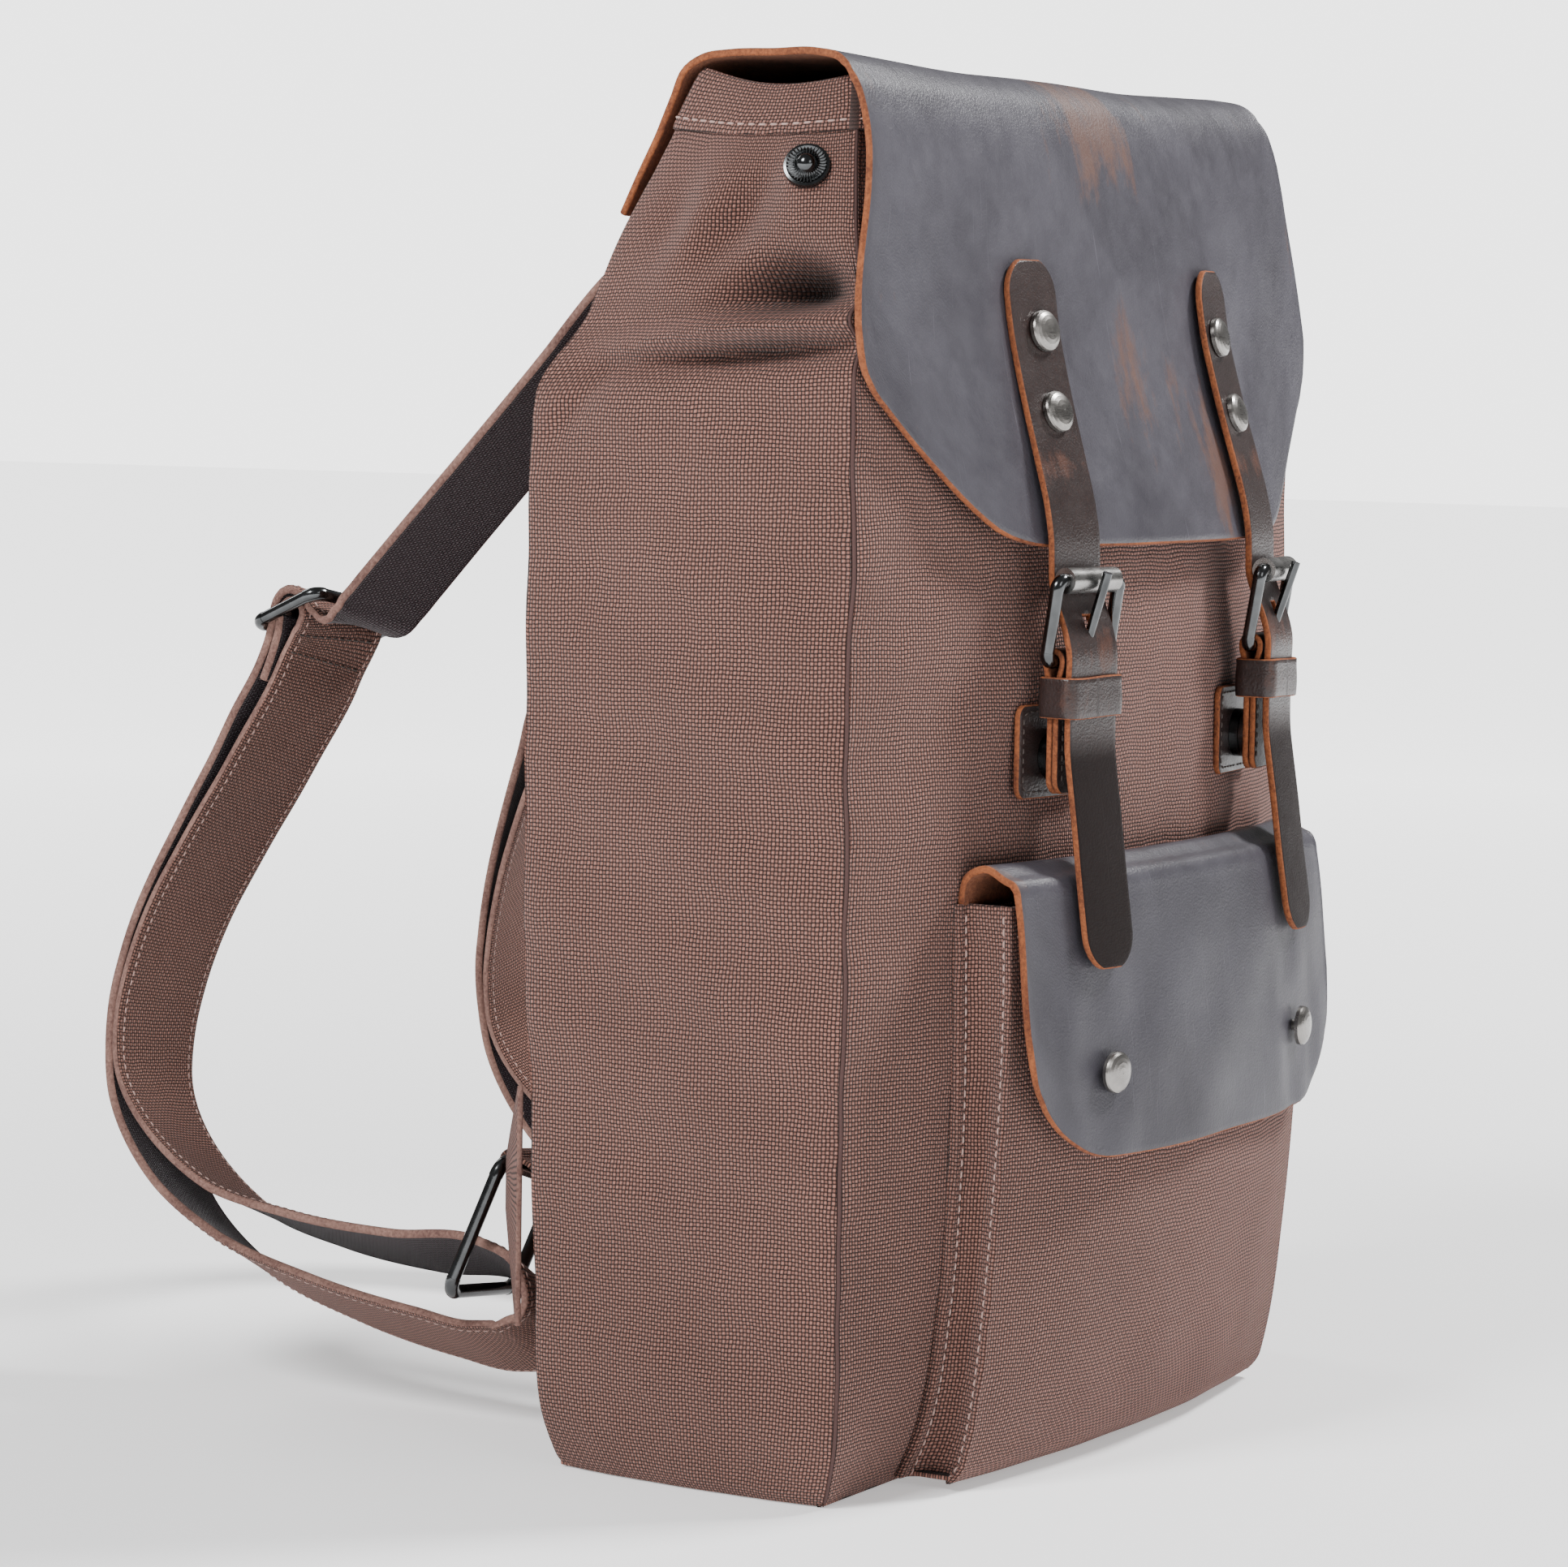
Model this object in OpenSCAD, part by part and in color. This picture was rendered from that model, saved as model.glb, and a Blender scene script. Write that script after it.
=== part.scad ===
/* [Bag] */
// Width of the bag at mid height
bag_w = 300; // [280:1:320]
// Depth of the bag at mid height, without the bulge of the front
bag_d = 118; // [106:1:130]
// Height of the mouth edge above the base
bag_h = 434; // [428:1:440]
// How far the filled front panel bulges forward
front_crown = 26; // [20:1:30]
// Thickness of the canvas walls
canvas_t = 1.6; // [1.2:0.1:2]

/* [Leather] */
// Thickness of the flap leather
leather_t = 2.3; // [2:0.1:2.6]
// Thickness of the closure straps
strap_t = 2.2; // [1.8:0.1:2.4]
// Width of the closure straps
strap_w = 24; // [22:0.5:25]
// Distance of each closure strap from the middle of the bag
strap_x = 66; // [60:1:70]
// Turn of each closure strap to follow the bulging front
strap_yaw = 8; // [6:1:9]

/* [Hardware] */
// Radius of the buckle wire
wire_r = 2.1; // [1.9:0.1:2.2]
// Radius of the buckle roller
roller_r = 4; // [3.6:0.1:4.1]
// Radial running clearance of the rollers and prongs
run_gap = 0.07; // [0.03:0.01:0.09]
// Radius of the rivet and snap caps
cap_r = 6.5; // [6:0.1:7]
// Radius of the magnet discs
magnet_r = 8; // [7:0.5:8]

/* [Pocket] */
// Width of the front pocket
pocket_w = 208; // [196:1:210]
// Height of the front pocket's mouth above the base
pocket_top = 183; // [178:1:184]

/* [Shoulder straps] */
// Width of the shoulder webbing
web_w = 38; // [34:1:40]
// Thickness of one layer of the shoulder webbing
web_t = 3; // [2.6:0.1:3.2]

/* [Hidden] */
$fn = 48;

// Small gaps between neighbouring pieces
gap = 0.3;
wall_foot = 0.3;

// Shape of the bag at rising heights:
// height, half width, front edge, back edge, bulge of the front as a share of front_crown
hw = bag_w / 2;
front_y = -(bag_d / 2 - 3);
back_y = bag_d / 2 + 3;
SHAPE = [
    [0, hw - 4, front_y + 6, back_y - 14, 0],
    [12, hw - 1, front_y + 2, back_y - 10, 0.15],
    [60, hw, front_y, back_y - 6, 0.8],
    [100, hw, front_y, back_y - 4, 1],
    [200, hw, front_y, back_y, 1],
    [250, hw, front_y, back_y, 1],
    [300, hw, front_y, back_y, 0.77],
    [345, hw, front_y, back_y - 4, 0.45],
    [375, hw - 4, front_y + 2, back_y - 14, 0.27],
    [405, hw - 12, front_y + 8, back_y - 28, 0.15],
    [bag_h, hw - 22, front_y + 14, back_y - 44, 0.08]
];
side_crown = 3.5;
back_crown = 4;
function shape(z, col) = lookup(z, [for (s = SHAPE) [s[0], s[col]]]);
function half_w(z) = shape(z, 1);
function crown(z) = front_crown * shape(z, 4);
function bulge(a) = 1 - a * a;
// Outer face of the front panel
function front_face(x, z) = shape(z, 2) - crown(z) * bulge(x / half_w(z));
// Outer face of the back panel
function back_face(x, z) = shape(z, 3) + back_crown * bulge(x / half_w(z));

hem_h = 16;
hem_t = 2.6;
hem_z = bag_h - hem_h;
LEVELS = [wall_foot, 12, 35, 60, 80, 100, 150, 200, 250, 275, 300, 322, 345, 360, 375, 390, hem_z - gap];

// ---- general shapes ----

// A closed skin between two grids of points that have the same number of rows and columns
module skin(outer, inner) {
    rows = len(outer);
    cols = len(outer[0]);
    function id(s, i, j) = s * rows * cols + i * cols + j;
    points = concat([for (r = inner) each r], [for (r = outer) each r]);
    faces = [
        for (i = [0:rows - 2], j = [0:cols - 2])
            each [
                [id(0, i, j), id(0, i, j + 1), id(0, i + 1, j + 1)],
                [id(0, i, j), id(0, i + 1, j + 1), id(0, i + 1, j)],
                [id(1, i, j), id(1, i + 1, j + 1), id(1, i, j + 1)],
                [id(1, i, j), id(1, i + 1, j), id(1, i + 1, j + 1)]
            ],
        for (i = [0:rows - 2])
            each [
                [id(0, i, 0), id(0, i + 1, 0), id(1, i + 1, 0)],
                [id(0, i, 0), id(1, i + 1, 0), id(1, i, 0)],
                [id(0, i, cols - 1), id(1, i + 1, cols - 1), id(0, i + 1, cols - 1)],
                [id(0, i, cols - 1), id(1, i, cols - 1), id(1, i + 1, cols - 1)]
            ],
        for (j = [0:cols - 2])
            each [
                [id(0, 0, j), id(1, 0, j), id(1, 0, j + 1)],
                [id(0, 0, j), id(1, 0, j + 1), id(0, 0, j + 1)],
                [id(0, rows - 1, j), id(1, rows - 1, j + 1), id(1, rows - 1, j)],
                [id(0, rows - 1, j), id(0, rows - 1, j + 1), id(1, rows - 1, j + 1)]
            ]
    ];
    polyhedron(points, faces);
}

// A solid through closed rings of points, one above the other
module loft(rings) {
    n = len(rings[0]);
    top = len(rings) - 1;
    points = [for (r = rings) each r];
    faces = [
        [for (j = [0:n - 1]) j],
        [for (j = [n - 1:-1:0]) top * n + j],
        for (i = [0:top - 1], j = [0:n - 1])
            each [
                [i * n + j, (i + 1) * n + (j + 1) % n, i * n + (j + 1) % n],
                [i * n + j, (i + 1) * n + j, (i + 1) * n + (j + 1) % n]
            ]
    ];
    polyhedron(points, faces);
}

// The bag's horizontal outline at a height, moved inwards by an inset
edge_cells = 10;
side_cells = 4;
function outline(z, inset) = concat(
    [for (k = [0:edge_cells - 1]) let (x = (2 * k / edge_cells - 1) * (half_w(z) - inset))
        [x, front_face(x, z) + inset, z]],
    [for (k = [0:side_cells - 1]) let (a = k / side_cells)
        [half_w(z) - inset + side_crown * bulge(2 * a - 1),
         (shape(z, 2) + inset) * (1 - a) + (shape(z, 3) - inset) * a, z]],
    [for (k = [0:edge_cells - 1]) let (x = (1 - 2 * k / edge_cells) * (half_w(z) - inset))
        [x, back_face(x, z) - inset, z]],
    [for (k = [0:side_cells - 1]) let (a = k / side_cells)
        [-(half_w(z) - inset + side_crown * bulge(2 * a - 1)),
         (shape(z, 3) - inset) * (1 - a) + (shape(z, 2) + inset) * a, z]]
);
module mirrored(right) {
    if (right) mirror([1, 0, 0]) children();
    else children();
}
// Places a left closure strap's own frame: X across the strap, Y into the bag, Z up
bar_y = -88;
bar_z = 257;
module at_strap(right) {
    mirrored(right) translate([-strap_x, bar_y, bar_z]) rotate([0, 0, -strap_yaw]) children();
}
// A flat band of even thickness that follows a path of [outward, up] points
function unit(v) = v / norm(v);
function path_dir(p, i) = unit(p[min(i + 1, len(p) - 1)] - p[max(i - 1, 0)]);
function side_of(d) = [d[1], -d[0]];
module band(path, t, w) {
    n = len(path) - 1;
    one = [for (i = [0:n]) path[i] + side_of(path_dir(path, i)) * t / 2];
    two = [for (i = [n:-1:0]) path[i] - side_of(path_dir(path, i)) * t / 2];
    rotate([90, 0, -90]) linear_extrude(w, center = true)
        polygon([for (q = concat(one, two)) q]);
}
// A domed metal cap that faces outwards, with its post behind it
module cap(r, h, post_r, post_l) {
    rotate([90, 0, 0]) {
        rotate_extrude() polygon(concat(
            [[0, 0], [r, 0], [r, h * 0.35]],
            [for (a = [15:15:90]) [r * cos(a), h * 0.35 + h * 0.65 * sin(a)]]
        ));
        if (post_l > 0) translate([0, 0, -post_l]) cylinder(r = post_r, h = post_l + 0.01);
    }
}
// A rectangular ring of round wire, lying in the XZ plane, a wide and b high at the wire's middle
module wire_ring(a, b, r, corner) {
    joint = 0.4;
    for (s = [-1, 1]) {
        translate([0, 0, s * b / 2]) rotate([0, 90, 0])
            cylinder(r = r, h = a - 2 * corner + 2 * joint, center = true);
        translate([s * a / 2, 0, 0])
            cylinder(r = r, h = b - 2 * corner + 2 * joint, center = true);
        for (t = [-1, 1])
            translate([s * (a / 2 - corner), 0, t * (b / 2 - corner)])
                rotate([90, 0, 0])
                    rotate([0, 0, s > 0 ? (t > 0 ? 0 : -90) : (t > 0 ? 90 : 180)])
                        rotate_extrude(angle = 90) translate([corner, 0]) circle(r + 0.15);
    }
}

// ---- bag ----
canvas = "rosybrown";
hide = [0.27, 0.2, 0.18];
steel = "slategray";

module base_panel() {
    color(canvas) translate([0, (front_y + back_y - 8) / 2, 0])
        linear_extrude(2) square([bag_w - 12, bag_d - 24], center = true);
}
module base_board() {
    color("dimgray") translate([0, (front_y + back_y - 8) / 2, 2 + gap])
        linear_extrude(2) square([bag_w - 24, bag_d - 36], center = true);
}
module front_panel() {
    cells = 14;
    grid = [for (z = LEVELS) [for (k = [0:cells]) let (x = (2 * k / cells - 1) * half_w(z))
        [x, front_face(x, z), z]]];
    color(canvas) skin(grid, [for (r = grid) [for (p = r) p + [0, canvas_t, 0]]]);
}
module back_panel() {
    cells = 10;
    grid = [for (z = LEVELS) [for (k = [0:cells]) let (x = (1 - 2 * k / cells) * half_w(z))
        [x, back_face(x, z), z]]];
    color(canvas) skin(grid, [for (r = grid) [for (p = r) p - [0, canvas_t, 0]]]);
}
// The left wall, which fits between the front and the back panels
module side_panel(right) {
    cells = 8;
    seam = canvas_t + 0.2;
    grid = [for (z = LEVELS) [for (k = [0:cells])
        let (y = (shape(z, 3) - seam) * (1 - k / cells) + (shape(z, 2) + seam) * k / cells)
        [-half_w(z) - side_crown * bulge(2 * k / cells - 1), y, z]]];
    color(canvas) mirrored(right) skin(grid, [for (r = grid) [for (p = r) p + [canvas_t, 0, 0]]]);
}
lining_in = canvas_t + 0.6;
module lining() {
    zs = concat([5.2], [for (i = [1:len(LEVELS) - 1]) LEVELS[i]]);
    color("darkslategray") difference() {
        loft([for (z = zs) outline(z, lining_in)]);
        loft([for (i = [0:len(zs) - 1])
            let (z = zs[i], shown = i == 0 ? z + 1 : (i == len(zs) - 1 ? z + 1 : z))
            [for (p = outline(z, lining_in + 1)) [p[0], p[1], shown]]]);
    }
}
module laptop_sleeve() {
    color("darkslategray") translate([0, back_y - 28, 12]) difference() {
        translate([-120, 0, 0]) cube([240, 9, 250]);
        translate([-118.4, 1.6, 1.6]) cube([236.8, 12, 260]);
    }
}
module mouth_hem() {
    zs = [hem_z, hem_z + hem_h / 2, bag_h];
    color(canvas) difference() {
        loft([for (z = zs) outline(z, 0)]);
        loft([for (i = [0:2]) [for (p = outline(zs[i], hem_t)) [p[0], p[1], zs[i] + i - 1]]]);
    }
}
// Spring snap on the side wall, for drawing the mouth in
snap_z = 408;
snap_y = -34;
module side_snap(right) {
    color(steel) mirrored(right)
        translate([-half_w(snap_z) - 2.6, snap_y, snap_z]) rotate([0, 0, -90])
            rotate([-19, 0, 0]) difference() {
                union() {
                    rotate([90, 0, 0]) cylinder(r = 7, h = 1.4);
                    rotate([90, 0, 0]) cylinder(r = 4.4, h = 3);
                }
                translate([0, -1.2, 0]) rotate([90, 0, 0]) cylinder(r = 2.2, h = 4);
            }
}

// ---- leather flap ----
hinge_y = shape(bag_h, 3) + 2.5;
hinge_z = bag_h + 3.2;
fold_y = front_y + 15;
fold_z = bag_h + 3.4;
// Leather strip sewn across the top of the back
module flap_back_edge() {
    zs = [393, 400, 408, 416, 422, bag_h - 1.6];
    cells = 8;
    grid = [for (z = zs) [for (k = [0:cells]) let (x = (1 - 2 * k / cells) * (half_w(z) - 3))
        [x, back_face(x, z) + gap + leather_t, z]]];
    color(hide) skin(grid, [for (r = grid) [for (p = r) p - [0, leather_t, 0]]]);
}
// Leather over the mouth, between the two fold lines
module flap_top() {
    t = leather_t;
    color(hide) rotate([0, -90, 0]) linear_extrude(276, center = true) polygon([
        [hinge_z - t / 2, hinge_y - 0.3], [hinge_z + t / 2, hinge_y - 0.3],
        [fold_z + t / 2, fold_y + 1.4], [fold_z - t / 2, fold_y + 1.4]
    ]);
}
// Front of the flap: height, outer face at the edge, bulge, half width
FLAP = [
    [fold_z + 0.9, -fold_y + 1.4, 0, 138], [fold_z - 0.4, -fold_y + 4.6, 0.6, 138.3],
    [fold_z - 3.6, -fold_y + 7.4, 1.4, 138.8], [fold_z - 9, -fold_y + 9, 2.4, 139.6],
    [415, 54, 4.5, 141], [400, 55, 6.5, 144], [379, 56.4, 8.8, 149], [358, 58.5, 10, 152.4],
    [348, 59.4, 12, 153], [340, 60.2, 13.8, 148], [326, 61.6, 17, 133], [312, 63, 20, 118],
    [302, 64, 22.2, 107], [296, 64.6, 23.4, 100], [294, 64.8, 23.8, 92]
];
function flap_face(x, row) = -row[1] - row[2] * bulge(x / hw);
module flap_front() {
    cells = 18;
    rows = len(FLAP) - 1;
    grid = [for (f = FLAP) [for (k = [0:cells]) let (x = (2 * k / cells - 1) * f[3])
        [x, flap_face(x, f), f[0]]]];
    function lean(i, j) = let (d = grid[min(i + 1, rows)][j] - grid[max(i - 1, 0)][j])
        unit([0, -d[2], d[1]]);
    inner = [for (i = [0:rows]) [for (j = [0:cells]) grid[i][j] + lean(i, j) * leather_t]];
    color(hide) difference() {
        skin([for (i = [rows:-1:0]) grid[i]], [for (i = [rows:-1:0]) inner[i]]);
        for (right = [false, true], p = RIVETS)
            at_strap(right) at_rivet(p) rivet_hole();
    }
}

// ---- closure straps and buckles, in the frame of the left strap ----
// Outward and up from the buckle's lower bar; the strap lies on the flap, runs behind the
// roller, crosses to the front of the frame and goes down through the keeper
roller_out = 4;
roller_up = 25;
STRAP = [
    [-22.3, 124], [-21.2, 115], [-18.9, 101], [-15.6, 88], [-11.9, 75], [-7.9, 62], [-3.6, 47],
    [-1.9, 37], [-1.6, 28], [-1.5, 24], [0.2, 19], [4, 9], [5.7, 3], [5.6, -10], [5.6, -25.7]
];
tail_up = -27;
TAIL = [[5.75, -28.4], [7.2, -38], [9, -50], [11.3, -67], [13.6, -82], [15.5, -95]];
post_r = 1.9;
module at_rivet(p) {
    translate([p[0], -p[1], p[2]]) rotate([-p[3], 0, 0]) children();
}
module rivet_hole() {
    rotate([90, 0, 0]) cylinder(r = post_r + 0.1, h = 24, center = true);
}
// Rivets: across, outward and up in the middle of the strap's thickness,
// the lean of the strap there, and how far the cap stands off it
RIVETS = [[2.5, -18.9, 101, 12, 0.45], [1.5, -12.2, 76, 16.5, 0.15]];
chape_t = 2;
chape_out = wire_r + 0.08 + chape_t;

module strap_slot() {
    translate([0, 0, 8]) cube([5, 60, 15], center = true);
}
module flap_strap(right) {
    color(hide) at_strap(right) difference() {
        intersection() {
            band(STRAP, strap_t, strap_w);
            translate([0, 60, 0]) rotate([90, 0, 0]) linear_extrude(120) union() {
                translate([-20, -40]) square([40, 152]);
                translate([0, 112]) circle(strap_w / 2);
            }
        }
        strap_slot();
        for (p = RIVETS) at_rivet(p) rivet_hole();
    }
}
module strap_rivets(right) {
    color(steel) at_strap(right) for (p = RIVETS)
        at_rivet(p) translate([0, -strap_t / 2 - p[4], 0]) cap(cap_r, 3.6, post_r, 6);
}
module strap_tail(right) {
    color(hide) at_strap(right) intersection() {
        band(TAIL, strap_t, strap_w);
        translate([0, 60, 0]) rotate([90, 0, 0]) linear_extrude(120) union() {
            translate([-20, -83]) square([40, 100]);
            translate([0, -83]) circle(strap_w / 2);
        }
    }
}
// Leather folded round the buckle's lower bar and pressed flat below it
module chape(right) {
    color(hide) at_strap(right) difference() {
        rotate([90, 0, -90]) linear_extrude(strap_w, center = true) polygon(concat(
            [for (a = [-15:15:195]) chape_out * [cos(a), sin(a)]],
            [[-3.1, -4.4], [-chape_t - 0.1, -8], [-chape_t - 0.1, -41],
             [chape_t + 0.1, -41], [chape_t + 0.1, -8], [3.1, -4.4]]
        ));
        rotate([0, 90, 0]) cylinder(r = wire_r + 0.08, h = 40, center = true);
        translate([0, 0, 2]) cube([6, 20, 13], center = true);
    }
}
magnet_up = -30;
stack_out = -10.5;
patch_t = 2.2;
magnet_l = (-stack_out - patch_t - chape_t - 0.1 - gap) / 2;
module magnet_stud(right) {
    color(steel) at_strap(right) translate([0, chape_t + 0.1, magnet_up])
        rotate([-90, 0, 0]) cylinder(r = magnet_r, h = magnet_l);
}
module closure_patch(right) {
    color(hide) at_strap(right) translate([-17.5, -stack_out - patch_t, -43])
        cube([35, patch_t, 29]);
}
module magnet_socket(right) {
    color(steel) at_strap(right) translate([0, -stack_out - patch_t - magnet_l, magnet_up])
        rotate([-90, 0, 0]) cylinder(r = magnet_r, h = magnet_l);
}
frame_w = strap_w + 2 * wire_r + 3.8;
frame_h = norm([roller_out, roller_up]);
module at_frame(right) {
    at_strap(right) rotate([atan2(roller_out, roller_up), 0, 0]) children();
}
module buckle_frame(right) {
    color(steel) at_frame(right) translate([0, 0, frame_h / 2])
        wire_ring(frame_w, frame_h, wire_r, 2.9);
}
module buckle_roller(right) {
    color(steel) at_frame(right) translate([0, 0, frame_h]) rotate([0, 90, 0])
        difference() {
            cylinder(r = roller_r, h = strap_w + 1, center = true);
            cylinder(r = wire_r + run_gap, h = frame_w, center = true);
        }
}
prong_r = 1.5;
module buckle_prong(right) {
    ring_r = wire_r + run_gap + 1.6;
    tip = roller_out + roller_r + prong_r + gap;
    start = [ring_r - prong_r, 1.2];
    end = [tip + 1.3, roller_up + 2.5];
    lean = atan2(end[0] - start[0], end[1] - start[1]);
    color(steel) at_strap(right) difference() {
        union() {
            rotate([0, 90, 0]) cylinder(r = ring_r, h = 4, center = true);
            translate([0, -start[0], start[1]]) rotate([lean, 0, 0])
                cylinder(r = prong_r, h = norm(end - start));
        }
        rotate([0, 90, 0]) cylinder(r = wire_r + run_gap, h = 10, center = true);
    }
}
keeper_t = 1.8;
module keeper(right) {
    inner_w = strap_w + 1.2;
    back = 3.5;
    front = 7.1;
    color(hide) at_strap(right) translate([0, (back - front) / 2, -17])
        linear_extrude(12) difference() {
            square([inner_w + 2 * keeper_t, back + front + 2 * keeper_t], center = true);
            square([inner_w, back + front], center = true);
        }
}

// ---- front pocket ----
pocket_hw = pocket_w / 2;
// Pocket front: height, outer face at the side edges, bulge
POCKET = [
    [3, -74, 8], [20, -78, 13], [60, -83, 19], [100, -86, 20.5], [130, -87.5, 17.5],
    [160, -88, 13], [pocket_top, -87.5, 8.5]
];
function pocket_face(x, z) = lookup(z, [for (p = POCKET) [p[0], p[1]]])
    - lookup(z, [for (p = POCKET) [p[0], p[2]]]) * bulge(x / pocket_hw);
pocket_foot = POCKET[0][0];
function pocket_x(k, cells, in) = (2 * k / cells - 1) * (pocket_hw - in);
POCKET_LEVELS = concat([pocket_foot + canvas_t + gap], [for (i = [1:len(POCKET) - 1]) POCKET[i][0]]);
pocket_gap = 1.3;
// Canvas front of the pocket, open at the top
module front_pocket() {
    cells = 12;
    grid = [for (z = POCKET_LEVELS) [for (k = [0:cells]) let (x = pocket_x(k, cells, 0))
        [x, pocket_face(x, z), z]]];
    color(canvas) skin(grid, [for (r = grid) [for (p = r) p + [0, canvas_t, 0]]]);
}
// The pocket's left gusset, between the bag and the pocket's front
module pocket_gusset(right) {
    deep = 3;
    grid = [for (z = POCKET_LEVELS) [for (k = [0:deep])
        let (back = front_face(pocket_hw, z) - pocket_gap, front = pocket_face(pocket_hw, z) + canvas_t + 0.2)
        [-pocket_hw, back + (front - back) * k / deep, z]]];
    color(canvas) mirrored(right) skin(grid, [for (r = grid) [for (p = r) p + [canvas_t, 0, 0]]]);
}
// Floor of the pocket
module pocket_floor() {
    cells = 10;
    function rim(z) = concat(
        [for (k = [0:cells]) let (x = pocket_x(k, cells, 0)) [x, pocket_face(x, z), z]],
        [for (k = [cells:-1:0]) let (x = pocket_x(k, cells, 0)) [x, front_face(x, z) - pocket_gap, z]]
    );
    color(canvas) loft([rim(pocket_foot), rim(pocket_foot + canvas_t)]);
}
snap_x = 67;
pocket_snap_z = 130;
pocket_hinge_y = -84;
pocket_hinge_z = 191;
// Leather strip between the bag and the pocket flap's fold line
module pocket_flap_root() {
    cells = 10;
    z = pocket_hinge_z;
    t = leather_t;
    half = pocket_hw + 1;
    near = pocket_hinge_y + 1.4;
    back = [for (s = [-1, 1]) [for (k = [0:cells]) let (x = (2 * k / cells - 1) * half)
        [x, front_face(x, z) - gap, z + s * t / 2]]];
    front = [for (s = [-1, 1]) [for (k = [0:cells]) let (x = (2 * k / cells - 1) * half)
        [x, min(near, front_face(x, z) - gap - 0.3), z + s * t / 2]]];
    color(hide) skin(front, back);
}
// Pocket flap: height, outer face at the side edges, bulge
PFLAP = [
    [192, -86.6, 8.6], [191, -89, 8.8], [188.5, -90.6, 9], [184, -91.2, 9.2], [172, -93, 9.8],
    [160, -94.2, 10.6], [145, -95.5, 11.4], [134, -96.5, 11.8], [124, -97, 12], [116, -97.4, 12],
    [110, -97.7, 12], [106, -97.9, 12], [104, -98, 12]
];
function pocket_flap_face(x, row) = row[1] - row[2] * bulge(min(abs(x) / pocket_hw, 1));
pocket_flap_hw = pocket_hw + 1.5;
function pocket_flap_half(z) = z >= 134 ? pocket_flap_hw :
    pocket_flap_hw - 31 * pow((134 - z) / 30, 1.35);
module pocket_flap() {
    cells = 14;
    rows = len(PFLAP) - 1;
    grid = [for (f = PFLAP) [for (k = [0:cells])
        let (x = (2 * k / cells - 1) * pocket_flap_half(f[0]))
        [x, pocket_flap_face(x, f), f[0]]]];
    function lean(i, j) = let (d = grid[min(i + 1, rows)][j] - grid[max(i - 1, 0)][j])
        unit([0, -d[2], d[1]]);
    inner = [for (i = [0:rows]) [for (j = [0:cells]) grid[i][j] + lean(i, j) * leather_t]];
    top_out = [for (k = [0:cells]) let (x = (2 * k / cells - 1) * pocket_flap_hw)
        [x, pocket_hinge_y - 1.4, pocket_hinge_z + leather_t / 2]];
    top_in = [for (p = top_out) p - [0, 0, leather_t]];
    color(hide) difference() {
        skin(concat([for (i = [rows:-1:0]) grid[i]], [top_out]),
             concat([for (i = [rows:-1:0]) inner[i]], [top_in]));
        for (s = [-1, 1]) translate([s * snap_x, 0, pocket_snap_z])
            rotate([90, 0, 0]) cylinder(r = post_r + 0.7, h = 200);
    }
}
snap_face = pocket_face(snap_x, pocket_snap_z);
cap_face = -96.7 - 11.9 * bulge(snap_x / pocket_hw);
module pocket_cap(right) {
    color(steel) mirrored(right)
        translate([-snap_x, cap_face - 1.3, pocket_snap_z]) rotate([0, 0, -8])
            cap(cap_r, 3.4, post_r, 3.4);
}
// Stud on the pocket's canvas below each cap
module pocket_stud(right) {
    color(steel) mirrored(right)
        translate([-snap_x, snap_face, pocket_snap_z]) rotate([90, 0, -12]) {
            translate([0, 0, 0.3]) cylinder(r = 4.5, h = 0.9);
            cylinder(r = 1.9, h = 2.2);
        }
}

// ---- shoulder straps, left side ----
// Route of the webbing's middle, its width direction turning from level to tilted
WEB_ROOT = [[-55, 46.8, 407], [-56, 51.2, 399.5], [-57.5, 56.5, 392.5]];
WEB_UP = [
    [-58.5, 59, 387], [-62, 76, 372], [-67, 97, 345.7], [-70, 122.7, 317],
    [-74, 149, 287.5], [-77, 162.5, 271.5]
];
WEB_BEND = [
    [-76.7, 161.5, 272.7], [-77, 162.5, 271.5], [-78.5, 167, 264], [-79.5, 172.2, 258.8], [-80, 177.5, 258],
    [-80.5, 181.3, 259.4], [-80.8, 184.3, 261.4], [-81, 187.7, 262.9], [-81, 191.3, 262.6], [-81, 194.2, 260],
    [-81, 195.4, 255.8], [-81, 196, 250], [-81.5, 198, 241]
];
WEB_ARC = [
    [-81, 196.5, 246], [-84, 203.5, 228], [-88, 212, 209], [-93, 223.5, 186], [-101, 238.5, 150],
    [-106, 244.5, 118], [-110, 241, 90], [-112, 226, 68]
];
WEB_LOW = [
    [-112.5, 228, 70.5], [-113, 200, 49], [-112, 160, 36], [-110, 120, 28], [-109, 98, 26]
];
WEB_EYE = [
    [-109, 98, 26], [-108, 84, 30], [-107, 79, 40], [-107, 85, 50], [-107, 97, 54.5],
    [-108, 130, 53.5], [-109, 170, 56], [-111, 210, 66], [-112, 226, 74]
];
// Direction across the webbing: it starts level and turned, and ends tilted
function tilt(a) = let (turn = 16 - a * 0.6) [cos(a) * cos(turn), -cos(a) * sin(turn), -sin(a)];
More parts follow.
